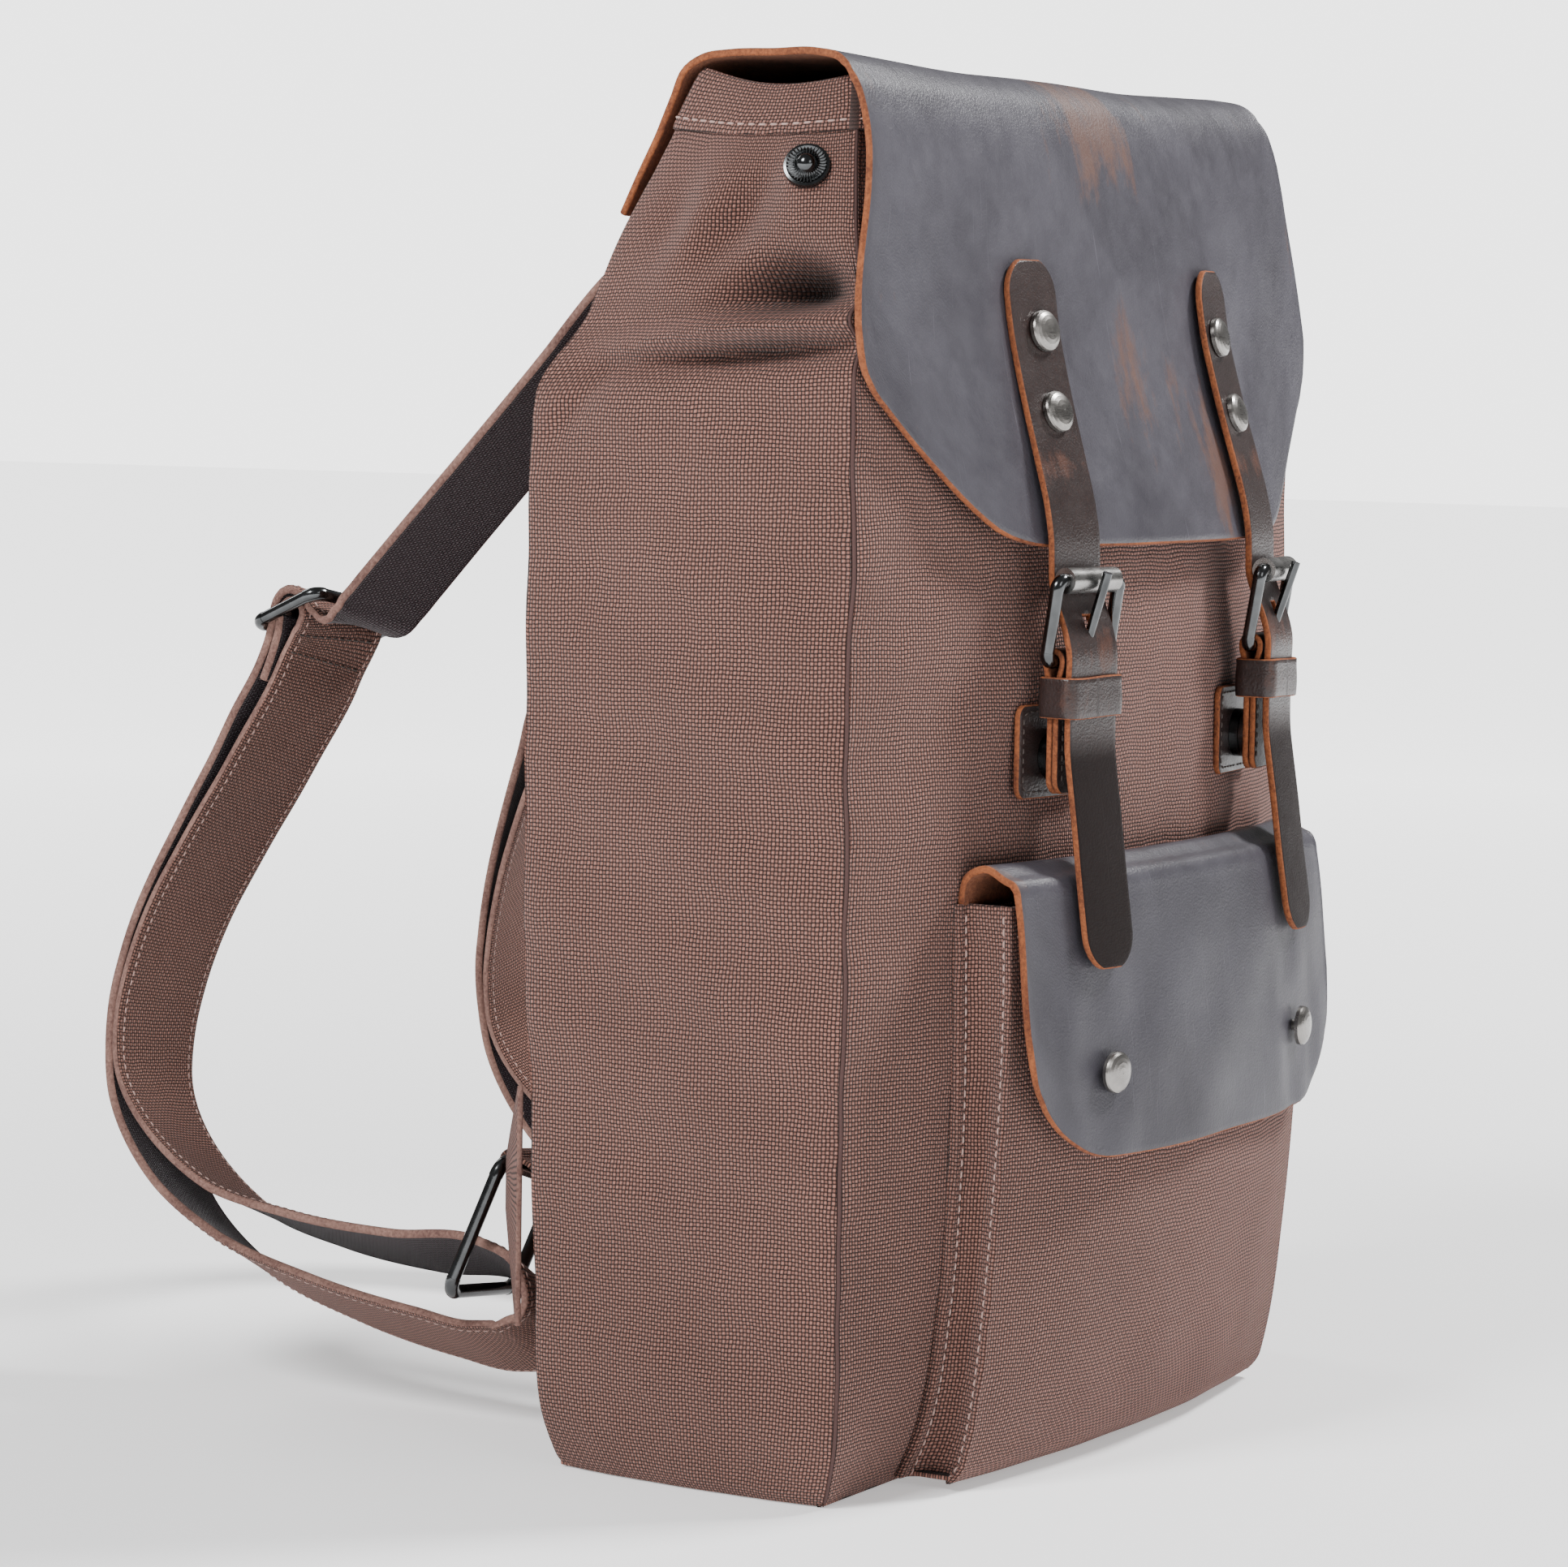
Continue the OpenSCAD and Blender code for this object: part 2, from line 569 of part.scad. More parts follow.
// A strip of webbing along a route; tilts lists the tilt of its width at both ends
module webbing(route, t, from_tilt, to_tilt) {
    n = len(route) - 1;
    function along(i) = unit(route[min(i + 1, n)] - route[max(i - 1, 0)]);
    function across(i) = let (w = tilt(from_tilt + (to_tilt - from_tilt) * i / n), d = along(i))
        unit(w - d * (w * d));
    function rise(i) = cross(along(i), across(i));
    function corner(i, s, u) = route[i] + across(i) * s * web_w / 2 + rise(i) * u * t / 2;
    loft([for (i = [0:n]) [corner(i, -1, -1), corner(i, 1, -1), corner(i, 1, 1), corner(i, -1, 1)]]);
}
slider_tilt = 12;
module web_root(right) {
    color(canvas) mirrored(right) webbing(WEB_ROOT, web_t, 0, 0);
}
module shoulder_web(right) {
    color(canvas) mirrored(right) {
        webbing(WEB_UP, web_t, 0, slider_tilt);
        webbing(WEB_BEND, web_t, slider_tilt, slider_tilt);
        webbing(WEB_ARC, 2 * web_t, slider_tilt, 18);
        webbing(WEB_LOW, web_t, 18, 18);
        webbing(WEB_EYE, web_t, 18, 18);
    }
}
// The webbing comes up through the slider behind its end bar and goes back down over the middle bar
slider_at = [-81, 187, 259];
slider_l = 28;
slider_bar = -2;
module web_slider(right) {
    color(steel) mirrored(right) translate(slider_at) rotate([66, slider_tilt, -8.8]) {
        wire_ring(web_w + 8, slider_l, 2.1, 4);
        translate([0, 0, slider_bar]) rotate([0, 90, 0]) cylinder(r = 2, h = web_w + 8, center = true);
    }
}
ring_at = [-107, 95, 66];
ring_h = 46;
ring_turn = [20, 8, 8];
module web_ring(right) {
    color(steel) mirrored(right) translate(ring_at) rotate(ring_turn)
        wire_ring(web_w + 9.6, ring_h, 2.2, 5);
}
// Narrow webbing folded round the ring's upper bar
module ring_loop(right) {
    color(canvas) mirrored(right) translate(ring_at) rotate(ring_turn)
        translate([-8, 0, ring_h / 2]) rotate([0, 90, 0]) difference() {
            union() {
                cylinder(r = 4.4, h = 18, center = true);
                translate([-1.6, -16, -9]) cube([3.2, 14, 18]);
            }
            cylinder(r = 2.5, h = 30, center = true);
        }
}
// Canvas triangle sewn into the seam of the back, which holds the ring's loop
module ring_tab(right) {
    seam_x = -hw + 1.5;
    seam_y = shape(80, 3) + 3;
    tip = [-122.5, 67, 84];
    t = 3;
    color(canvas) mirrored(right) loft([
        [[seam_x, seam_y, 44], [tip[0], tip[1], 76], [tip[0], tip[1] + t, 76], [seam_x, seam_y + t, 44]],
        [[seam_x, seam_y, 120], [tip[0], tip[1], 93], [tip[0], tip[1] + t, 93], [seam_x, seam_y + t, 120]]
    ]);
}
handle_y = shape(386, 3) + back_crown + 1.2;
handle_z = 386;
handle_lean = 23;
module grab_handle() {
    color(canvas) translate([0, handle_y, handle_z]) rotate([handle_lean, 0, 0]) difference() {
        translate([-33, 0, -30]) cube([66, 3, 30]);
        translate([-24, -1, -23]) cube([48, 5, 17]);
    }
}

base_panel();
base_board();
front_panel();
back_panel();
side_panel(false);  // side_panel_left
side_panel(true);  // side_panel_right
lining();
laptop_sleeve();
mouth_hem();
side_snap(false);  // side_snap_left
side_snap(true);  // side_snap_right
flap_back_edge();
flap_top();
flap_front();
flap_strap(false);  // flap_strap_left
flap_strap(true);  // flap_strap_right
strap_rivets(false);  // strap_rivets_left
strap_rivets(true);  // strap_rivets_right
chape(false);  // chape_left
chape(true);  // chape_right
magnet_stud(false);  // magnet_stud_left
magnet_stud(true);  // magnet_stud_right
closure_patch(false);  // closure_patch_left
closure_patch(true);  // closure_patch_right
magnet_socket(false);  // magnet_socket_left
magnet_socket(true);  // magnet_socket_right
buckle_frame(false);  // buckle_frame_left
buckle_frame(true);  // buckle_frame_right
buckle_roller(false);  // buckle_roller_left
buckle_roller(true);  // buckle_roller_right
buckle_prong(false);  // buckle_prong_left
buckle_prong(true);  // buckle_prong_right
keeper(false);  // keeper_left
keeper(true);  // keeper_right
strap_tail(false);  // strap_tail_left
strap_tail(true);  // strap_tail_right
front_pocket();
pocket_floor();
pocket_gusset(false);  // pocket_gusset_left
pocket_gusset(true);  // pocket_gusset_right
pocket_flap_root();
pocket_flap();
pocket_cap(false);  // pocket_cap_left
pocket_cap(true);  // pocket_cap_right
pocket_stud(false);  // pocket_stud_left
pocket_stud(true);  // pocket_stud_right
web_root(false);  // web_root_left
web_root(true);  // web_root_right
shoulder_web(false);  // shoulder_web_left
shoulder_web(true);  // shoulder_web_right
web_slider(false);  // web_slider_left
web_slider(true);  // web_slider_right
web_ring(false);  // web_ring_left
web_ring(true);  // web_ring_right
ring_loop(false);  // ring_loop_left
ring_loop(true);  // ring_loop_right
ring_tab(false);  // ring_tab_left
ring_tab(true);  // ring_tab_right
grab_handle();
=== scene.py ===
"""Looks of the backpack: canvas body and pocket, waxed leather flaps and straps, webbing and hardware.

Lengths in this script are millimetres and angles degrees. MM turns them into Blender's metres.
"""
import math

import bpy
import numpy as np
from mathutils import Euler, Matrix, Vector


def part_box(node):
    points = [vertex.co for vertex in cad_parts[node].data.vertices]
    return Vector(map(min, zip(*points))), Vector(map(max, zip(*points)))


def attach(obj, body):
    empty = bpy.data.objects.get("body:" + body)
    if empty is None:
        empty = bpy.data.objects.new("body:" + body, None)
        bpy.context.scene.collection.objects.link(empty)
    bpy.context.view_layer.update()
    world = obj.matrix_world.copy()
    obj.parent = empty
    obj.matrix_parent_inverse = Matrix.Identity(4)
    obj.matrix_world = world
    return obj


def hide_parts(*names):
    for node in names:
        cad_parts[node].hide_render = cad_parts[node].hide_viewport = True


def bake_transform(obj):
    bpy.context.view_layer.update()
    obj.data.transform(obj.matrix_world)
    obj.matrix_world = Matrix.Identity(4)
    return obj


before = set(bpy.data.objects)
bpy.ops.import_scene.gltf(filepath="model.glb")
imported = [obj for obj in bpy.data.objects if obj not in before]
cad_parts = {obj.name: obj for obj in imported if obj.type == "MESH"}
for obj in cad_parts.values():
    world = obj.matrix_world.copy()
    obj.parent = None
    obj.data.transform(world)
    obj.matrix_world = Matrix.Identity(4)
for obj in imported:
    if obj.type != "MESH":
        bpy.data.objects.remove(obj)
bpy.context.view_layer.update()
MM = 0.001
MIRROR = np.array([-1, 1, 1])

# ---- dimensions shared with the part ----
HALF_W = 150
SIDES = ("left", "right")
FRONT_CROWN, SIDE_CROWN, BACK_CROWN = 26, 3.5, 4
LEATHER, STRAP_T, STRAP_W = 2.3, 2.2, 24
WEB_W, WEB_T = 38, 3
POCKET_HALF, POCKET_TOP = 104, 183
# height, half width, front edge, back edge, share of the front's bulge
SHAPE = [
    (0, 146, -50, 48, 0), (12, 149, -54, 52, 0.15), (60, 150, -56, 56, 0.8), (100, 150, -56, 58, 1),
    (200, 150, -56, 62, 1), (250, 150, -56, 62, 1), (300, 150, -56, 62, 0.77), (345, 150, -56, 58, 0.45),
    (375, 146, -54, 48, 0.27), (405, 138, -48, 34, 0.15), (434, 128, -42, 18, 0.08),
]


# ---- curves ----
def hermite(knots, values, at):
    """Smooth curve through the values, looked up at each place."""
    knots, values, at = (np.asarray(a, float) for a in (knots, values, at))
    if values.ndim == 1:
        values = values[:, None]
    slope = np.gradient(values, knots, axis=0)
    shape = at.shape
    at = np.clip(at.ravel(), knots[0], knots[-1])
    i = np.clip(np.searchsorted(knots, at, side="right") - 1, 0, len(knots) - 2)
    step = (knots[i + 1] - knots[i])[:, None]
    u = (at - knots[i])[:, None] / step
    out = ((2 * u**3 - 3 * u**2 + 1) * values[i] + (u**3 - 2 * u**2 + u) * step * slope[i]
           + (3 * u**2 - 2 * u**3) * values[i + 1] + (u**3 - u**2) * step * slope[i + 1])
    return out.reshape(shape + (values.shape[1],)) if values.shape[1] > 1 else out.reshape(shape)


def lengths(points):
    return np.concatenate([[0], np.cumsum(np.linalg.norm(np.diff(points, axis=0), axis=1))])


def sample(at, run, path):
    """Points of a path at the lengths along it."""
    return np.stack([np.interp(at, run, column) for column in path.T], axis=-1)


def circle(radius, degrees):
    return [(radius * math.cos(math.radians(t)), radius * math.sin(math.radians(t))) for t in degrees]


def spline(points, count):
    """Points evenly spaced along a smooth curve."""
    points = np.asarray(points, float)
    run = lengths(points[:, :3])
    fine = hermite(run, points, np.linspace(0, run[-1], 40 * len(points)))
    run = lengths(fine[:, :3])
    return sample(np.linspace(0, run[-1], count), run, fine)


def shape(z, col):
    return hermite([s[0] for s in SHAPE], [s[col] for s in SHAPE], z)


def bulge(a):
    return 1 - np.clip(a, -1, 1) ** 2


def front_face(x, z):
    return shape(z, 2) - FRONT_CROWN * shape(z, 4) * bulge(x / shape(z, 1))


def bump(value, centre, width):
    return np.exp(-(((value - centre) / width) ** 2))


def ripple(a, b, seed):
    """Slow, even waviness between about -1 and 1."""
    total = 0
    for k in range(5):
        angle = seed * 1.7 + k * 2.1
        pitch = 38 + 23 * k
        slant = a * math.cos(angle) + b * math.sin(angle)
        total = total + np.sin(slant * 2 * math.pi / pitch + seed * (k + 1))
    return total / 5 * 1.6


# ---- meshes ----
def build(name, points, faces, materials, coords, ids=None, sharp=48):
    """A smooth mesh in metres. coords go to the attribute that the materials read: two lengths and a third
    value for wear and painted shade.
    """
    mesh = bpy.data.meshes.new(name)
    mesh.from_pydata((np.asarray(points) * MM).tolist(), [], faces)
    for material in materials:
        mesh.materials.append(material)
    mesh.polygons.foreach_set("material_index", ids or [0] * len(faces))
    mesh.polygons.foreach_set("use_smooth", [True] * len(mesh.polygons))
    layer = mesh.attributes.new("cloth", "FLOAT_VECTOR", "POINT")
    layer.data.foreach_set("vector", np.asarray(coords, np.float32).ravel())
    mesh.update()
    mesh.set_sharp_from_angle(angle=math.radians(sharp))
    obj = bpy.data.objects.new(name, mesh)
    bpy.context.scene.collection.objects.link(obj)
    return obj


def unit(v):
    return v / np.maximum(np.linalg.norm(v, axis=-1, keepdims=True), 1e-9)


def ring_outward(ring):
    """Level directions away from a closed outline."""
    return unit(np.cross(np.roll(ring, -1, -2) - np.roll(ring, 1, -2), [0, 0, 1.0]))


def grid_normals(grid, wrap):
    if wrap:
        across = np.roll(grid, -1, axis=1) - np.roll(grid, 1, axis=1)
    else:
        across = np.gradient(grid, axis=1)
    return unit(np.cross(across, np.gradient(grid, axis=0)))


def shell(name, grid, thick, materials, keep=None, wrap=False, open_rows=(), wear=0.0, start=(0, 0)):
    """A sheet of even thickness. Rows go up and columns to the right, seen from its outer side.

    materials are for the outer side, the cut edge and the inner side. keep drops quads, for holes.
    """
    grid = np.asarray(grid, float)
    rows, cols = grid.shape[:2]
    normal = grid_normals(grid, wrap)
    if keep is None:
        keep = np.ones((rows - 1, cols if wrap else cols - 1), bool)
    up = np.mean([lengths(grid[:, j]) for j in range(0, cols, max(1, cols // 8))], axis=0)
    along = np.mean([lengths(row) for row in grid[::max(1, rows // 8)]], axis=0)
    u, v = start[0] + along - along.mean(), start[1] + up[:, None]
    coords = np.stack(np.broadcast_arrays(u, v, wear), -1)
    points = [grid.reshape(-1, 3), (grid - normal * thick).reshape(-1, 3)]
    attribute = [coords.reshape(-1, 3)] * 2
    size = rows * cols
    outer_faces, edges = [], {}
    for i, j in np.argwhere(keep).tolist():
        k = (j + 1) % cols
        quad = (i * cols + j, i * cols + k, (i + 1) * cols + k, (i + 1) * cols + j)
        outer_faces.append(quad)
        for a, b in zip(quad, quad[1:] + quad[:1]):
            if edges.pop((b, a), None) is None:
                edges[(a, b)] = True
    rim = [(a, b) for a, b in edges if a // cols != b // cols or a // cols not in open_rows]
    out = np.zeros((size, 3))
    flat, flat_normal = points[0], normal.reshape(-1, 3)
    for a, b in rim:
        side = np.cross(flat[b] - flat[a], flat_normal[a])
        out[a] += side
        out[b] += side
    rim_ids = sorted({v for e in rim for v in e})
    place = {v: n for n, v in enumerate(rim_ids)}
    swell = unit(out[rim_ids]) * 0.2 * thick
    for share in (0.2, 0.8):
        points.append(flat[rim_ids] * (1 - share) + points[1][rim_ids] * share + swell)
        attribute.append(attribute[0][rim_ids])
    faces = outer_faces + [tuple(size + v for v in quad[::-1]) for quad in outer_faces]
    ids = [0] * len(outer_faces) + [2] * len(outer_faces)
    first, second = 2 * size, 2 * size + len(rim_ids)
    for a, b in rim:
        pa, pb = place[a], place[b]
        faces += [(b, a, first + pa, first + pb), (first + pb, first + pa, second + pa, second + pb),
                  (second + pb, second + pa, size + a, size + b)]
        ids += [1, 1, 1]
    used = sorted({v for f in faces for v in f})
    new = {v: n for n, v in enumerate(used)}
    faces = [tuple(new[v] for v in f) for f in faces]
    return build(name, np.concatenate(points)[used], faces, materials, np.concatenate(attribute)[used], ids)


def on_side(grid, right):
    """A sheet made for the left side, or the same sheet on the right."""
    return np.asarray(grid)[:, ::-1] * MIRROR if right else np.asarray(grid)


def mirror(points, right):
    return np.asarray(points) * (MIRROR if right else 1)


def turned(points, turn):
    """Rotates points about X, then Y, then Z."""
    points = np.asarray(points, float)
    for axis, angle in enumerate(turn):
        c, s = math.cos(math.radians(angle)), math.sin(math.radians(angle))
        a, b = (axis + 1) % 3, (axis + 2) % 3
        moved = points.copy()
        moved[..., a] = points[..., a] * c - points[..., b] * s
        moved[..., b] = points[..., a] * s + points[..., b] * c
        points = moved
    return points


def ring_faces(rings, sides, wrap=False, flip=False):
    """Quads between rings of points that follow one another."""
    faces = []
    for i in range(rings if wrap else rings - 1):
        for k in range(sides):
            here, ahead, over = i * sides, (i + 1) % rings * sides, (k + 1) % sides
            quad = (here + k, here + over, ahead + over, ahead + k)
            faces.append(quad[:1] + quad[:0:-1] if flip else quad)
    return faces


def piece(obj, slot, *nodes, body="bag"):
    """Hides the nodes that a piece stands for and hangs it on the body it rides on. slot is not used."""
    if nodes:
        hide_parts(*nodes)
    if body:
        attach(obj, body)


def blended(obj, slot, nodes, start, end):
    """Hides the nodes that a piece stands for and bakes its place into its mesh, without a body. slot, start
    and end are not used.
    """
    piece(obj, slot, *nodes, body=None)
    tuple(c * MM for c in start)
    tuple(c * MM for c in end)
    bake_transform(obj)


def stitches(name, slot, runs, material, length, spacing, radius, body="bag"):
    """Rows of thread stitches. Each run is a path and the outward direction at its points."""
    points, faces, coords = [], [], []
    sides = 6
    shares = [(-1, 0.35), (-0.6, 0.95), (0.6, 0.95), (1, 0.35)]
    last = (len(shares) - 1) * sides
    ends = [tuple(range(sides))[::-1], tuple(range(last, last + sides))]
    one_stitch = ring_faces(len(shares), sides) + ends
    for path, outward in runs:
        path, outward = np.asarray(path, float), unit(np.asarray(outward, float))
        run = lengths(path)
        for n in range(int(run[-1] / spacing)):
            at = (n + 0.5) * spacing
            centre = sample(at, run, path)
            along = unit(sample(at + 0.5, run, path) - centre)
            up = unit(sample(at, run, outward))
            side = np.cross(along, up)
            base = len(points)
            for place, size in shares:
                drop = radius * (1.1 if abs(place) == 1 else 0)
                for k in range(sides):
                    angle = 2 * math.pi * k / sides
                    points.append(centre + along * place * length / 2 - up * drop
                                  + (side * math.cos(angle) + up * math.sin(angle)) * radius * size)
                    coords.append((at + place, angle, 0))
            faces += [tuple(base + v for v in face) for face in one_stitch]
    piece(build(name, points, faces, [material], coords, sharp=80), slot, body=body)


# ---- materials ----
class Field:
    """A value in a material that can be added, taken away and multiplied."""

    def __init__(self, graph, socket):
        self.graph = graph
        self.socket = socket

    def __add__(self, other):
        return self.graph.math("ADD", self, other)

    def __sub__(self, other):
        return self.graph.math("SUBTRACT", self, other)

    def __mul__(self, other):
        return self.graph.math("MULTIPLY", self, other)

    def most(self, other):
        return self.graph.math("MAXIMUM", self, other)


class Graph:
    """Short forms for building a material's nodes."""

    def __init__(self, name, colour, roughness, metallic=0.0):
        self.material = bpy.data.materials.new(name)
        self.material.use_nodes = True
        self.tree = self.material.node_tree
        self.shader = self.tree.nodes["Principled BSDF"]
        self.set(Base_Color=colour, Roughness=roughness, Metallic=metallic)

    def put(self, socket, value):
        if isinstance(value, Field):
            self.tree.links.new(value.socket, socket)
        elif isinstance(value, tuple) and socket.type == "RGBA":
            socket.default_value = (*value, 1)
        else:
            socket.default_value = value

    def set(self, **values):
        for key, value in values.items():
            self.put(self.shader.inputs[key.replace("_", " ")], value)
        return self

    def node(self, kind, inputs, output=0, **settings):
        """Adds a node, fills its inputs and gives one of its outputs."""
        node = self.tree.nodes.new("ShaderNode" + kind)
        for key, value in settings.items():
            setattr(node, key, value)
        for key, value in inputs.items():
            self.put(node.inputs[key], value)
        return Field(self, node.outputs[output])

    def math(self, operation, a, b=0.0):
        return self.node("Math", {0: a, 1: b}, operation=operation)

    def mix(self, share, a, b):
        return self.node("Mix", {0: share, 6: a, 7: b}, 2, data_type="RGBA")

    def span(self, value, low, high, to_low=0.0, to_high=1.0):
        return self.node("MapRange", dict(enumerate((value, low, high, to_low, to_high))), clamp=True)

    def stretch(self, vector, scale, turn=0.0):
        inputs = {"Vector": vector, "Scale": scale, "Rotation": (0, 0, math.radians(turn))}
        return self.node("Mapping", inputs)

    def noise(self, vector, scale, detail=3.0, roughness=0.55):
        inputs = {"Vector": vector, "Scale": scale, "Detail": detail, "Roughness": roughness}
        return self.node("TexNoise", inputs)

    def cloth(self):
        """The lengths across and along the sheet in mm, its wear and painted shade, and the two lengths as a
        vector.
        """
        stored = self.node("Attribute", {}, "Vector", attribute_name="cloth")
        u, v, wear = (self.node("SeparateXYZ", {0: stored}, k) for k in range(3))
        return u, v, wear, self.node("CombineXYZ", {0: u, 1: v})

    def place(self):
        return self.node("TexCoord", {}, "Object")

    def bump(self, height, distance):
        self.set(Normal=self.node("Bump", {"Distance": distance * MM, "Strength": 1.0, "Height": height}))


def scaled(colour, share):
    return tuple(min(1, c * share) for c in colour)


def weave(g, u, v, pitch_u, pitch_v):
    """Height of a plain weave: raised beads in staggered rows, with the crossing yarns lower between."""
    product = g.math("SINE", u * (math.pi / pitch_u)) * g.math("SINE", v * (math.pi / pitch_v))
    raised = g.math("POWER", product.most(0.0), 0.75)
    return raised + g.math("POWER", (product * -1.0).most(0.0), 0.75) * 0.5


def canvas_material(name, light, dark, pitch_u=1.1, pitch_v=1.25, depth=0.3):
    """Woven cloth. Positive wear rubs it lighter, negative wear is painted shadow in a fold."""
    g = Graph(name, light, 0.92)
    u, v, wear, flat = g.cloth()
    drift = (g.noise(flat, 0.05, 2) - 0.5) * 2.4
    height = weave(g, u + drift, v + drift, pitch_u, pitch_v)
    yarn = g.noise(flat, 1.3, 2)
    slub = g.noise(g.stretch(flat, (0.05, 0.9, 1)), 1.0, 2)
    tone = g.noise(flat, 0.022, 3) * 0.5 + yarn * 0.5
    base = g.mix(g.span(tone + slub * 0.25, 0.42, 0.85), scaled(light, 0.86), scaled(light, 1.14))
    # painted shade: the weave's low crossing yarns are coloured towards dark, as shade between the raised
    # beads
    ground = g.mix(g.span(height, 0.12, 0.72), dark, base)
    ground = g.mix(wear.most(0.0) * 0.45, ground, scaled(light, 1.5))
    # painted shadow: negative values darken the canvas in the folds, as shade
    painted_fold_shadow = (wear * -1.0).most(0.0)
    g.bump(height + yarn * 0.5, depth)
    return g.set(Base_Color=g.mix(painted_fold_shadow * 0.88, ground, scaled(dark, 0.35)),
                 Sheen_Weight=0.12, Sheen_Roughness=0.5, Specular_IOR_Level=0.2).material


def leather_material(name, dark, sheen, rust, rust_share, roughness=0.4, fibre=0.0):
    """Waxed leather with scratches. Positive wear brings out rust; negative values make it matt and paint it
    darker, as shade.
    """
    g = Graph(name, dark, roughness)
    wear, flat = g.cloth()[2:]
    mottle = g.noise(flat, 0.12, 4, 0.65)
    tone = g.mix(g.span(g.noise(flat, 0.018, 4, 0.6) * 0.8 + mottle * 0.2, 0.3, 0.7), dark, sheen)
    streak = g.noise(g.stretch(flat, (0.06, 0.018, 1), 12), 1.0, 6, 0.7)
    spots = streak + g.noise(flat, 0.3, 4, 0.75) * 0.22 + wear * 0.3
    rusty = g.span(spots, 0.86 - rust_share, 1.0 - rust_share, 0.0, 0.85)
    lines = [g.span(g.noise(g.stretch(flat, (0.9, 0.012, 1), turn), scale, 2), 0.70, 0.735)
             for turn, scale in ((35, 1.0), (-28, 0.8), (78, 1.3))]
    scratch = lines[0].most(lines[1]).most(lines[2]) * g.span(g.noise(flat, 0.05, 2), 0.45, 0.6)
    tone = g.mix(scratch * 0.35, g.mix(rusty, tone, rust), scaled(sheen, 2.6))
    hair = g.noise(g.stretch(flat, (2.4, 0.5, 1), 8), 1.0, 3, 0.7)
    tone = g.mix(g.span(hair, 0.5, 0.7) * fibre, tone, rust)
    # negative values: a matt finish, and painted shade that darkens the colour (on the strap tail partly its
    # own dark fibrous end)
    matt_and_shade = (wear * -1.0).most(0.0)
    grain = g.node("TexVoronoi", {"Vector": flat, "Scale": 1.35}, "Distance", feature="F1")
    wrinkle = g.noise(g.stretch(flat, (0.3, 0.16, 1), 20), 1.0, 5, 0.6)
    g.bump(grain * 0.55 + g.noise(flat, 3.0, 3) * 0.35 + wrinkle * 0.7 - scratch * 0.7, 0.16)
    rough = g.span(mottle, 0.3, 0.7, roughness - 0.03, roughness + 0.05) + rusty * 0.1 + matt_and_shade * 0.22
    return g.set(Base_Color=g.mix(matt_and_shade * 0.7, tone, scaled(dark, 0.35)), Roughness=rough,
                 Specular_IOR_Level=g.span(matt_and_shade, 0.0, 1.0, 0.5, 0.12)).material


def raw_edge_material(name, light, dark):
    """Cut or split fibres, without wear."""
    g = Graph(name, light, 0.95)
    fuzz = g.noise(g.place(), 900.0, 4, 0.7)
    share = g.span(fuzz * 0.6 + g.noise(g.place(), 60.0, 3) * 0.4, 0.38, 0.62)
    g.bump(fuzz, 0.5)
    return g.set(Base_Color=g.mix(share, dark, light)).material


def metal_material(name, colour, roughness, grain):
    g = Graph(name, colour, roughness, 1.0)
    brushed = g.noise(g.stretch(g.place(), grain), 1.0, 3)
    smear = g.noise(g.place(), 140.0, 3)
    g.bump(brushed, 0.015)
    rough = g.span(brushed * 0.5 + smear * 0.5, 0.3, 0.7, roughness * 0.75, roughness * 1.3)
    tone = g.mix(g.span(smear, 0.35, 0.7), scaled(colour, 0.8), scaled(colour, 1.15))
    return g.set(Base_Color=tone, Roughness=rough).material


def ribbed_material(name, light, dark):
    """Back of the webbing: dark yarns in close ribs, with painted shade that darkens the low parts of the
    ribs.
    """
    g = Graph(name, light, 0.88)
    u, v, _, flat = g.cloth()
    height = weave(g, u, v, 1.3, 0.75)
    fuzz = g.noise(flat, 1.6, 3)
    g.bump(height + fuzz * 0.6, 0.4)
    return g.set(Base_Color=g.mix(g.span(height * 0.7 + fuzz * 0.4, 0.2, 0.9), dark, light),
                 Sheen_Weight=0.2, Sheen_Roughness=0.4, Specular_IOR_Level=0.2).material


CANVAS_MAT = canvas_material("canvas", (0.42, 0.198, 0.154), (0.022, 0.010, 0.008), depth=0.9)
WEB_MAT = canvas_material("webbing_face", (0.39, 0.184, 0.139), (0.022, 0.010, 0.008), 1.0, 1.1, 0.8)
WEB_EDGE = raw_edge_material("webbing_edge", (0.30, 0.17, 0.135), (0.12, 0.06, 0.05))
WEB_BACK = ribbed_material("webbing_back", (0.058, 0.030, 0.038), (0.008, 0.004, 0.006))
LINING_MAT = canvas_material("lining", (0.035, 0.022, 0.02), (0.01, 0.006, 0.006), 0.35, 0.35, 0.08)
THREAD = Graph("thread", (0.42, 0.27, 0.235), 0.8).set(Sheen_Weight=0.2).material
DARK_THREAD = Graph("dark_thread", (0.05, 0.035, 0.03), 0.6).material
GROOVE = Graph("seam_shadow", (0.075, 0.038, 0.034), 0.95).material
FLAP_MAT = leather_material("flap_leather", (0.030, 0.027, 0.035), (0.076, 0.072, 0.087),
                            (0.105, 0.052, 0.038), 0.10)
STRAP_MAT = leather_material("strap_leather", (0.014, 0.0085, 0.008), (0.030, 0.019, 0.018),
                             (0.075, 0.026, 0.014), 0.03, 0.34, 0.28)
FLESH = raw_edge_material("leather_back", (0.24, 0.085, 0.038), (0.10, 0.032, 0.016))
EDGE = raw_edge_material("raw_edge", (0.34, 0.105, 0.036), (0.11, 0.030, 0.012))
SATIN = metal_material("satin_gunmetal", (0.30, 0.285, 0.27), 0.3, (300, 300, 2500))
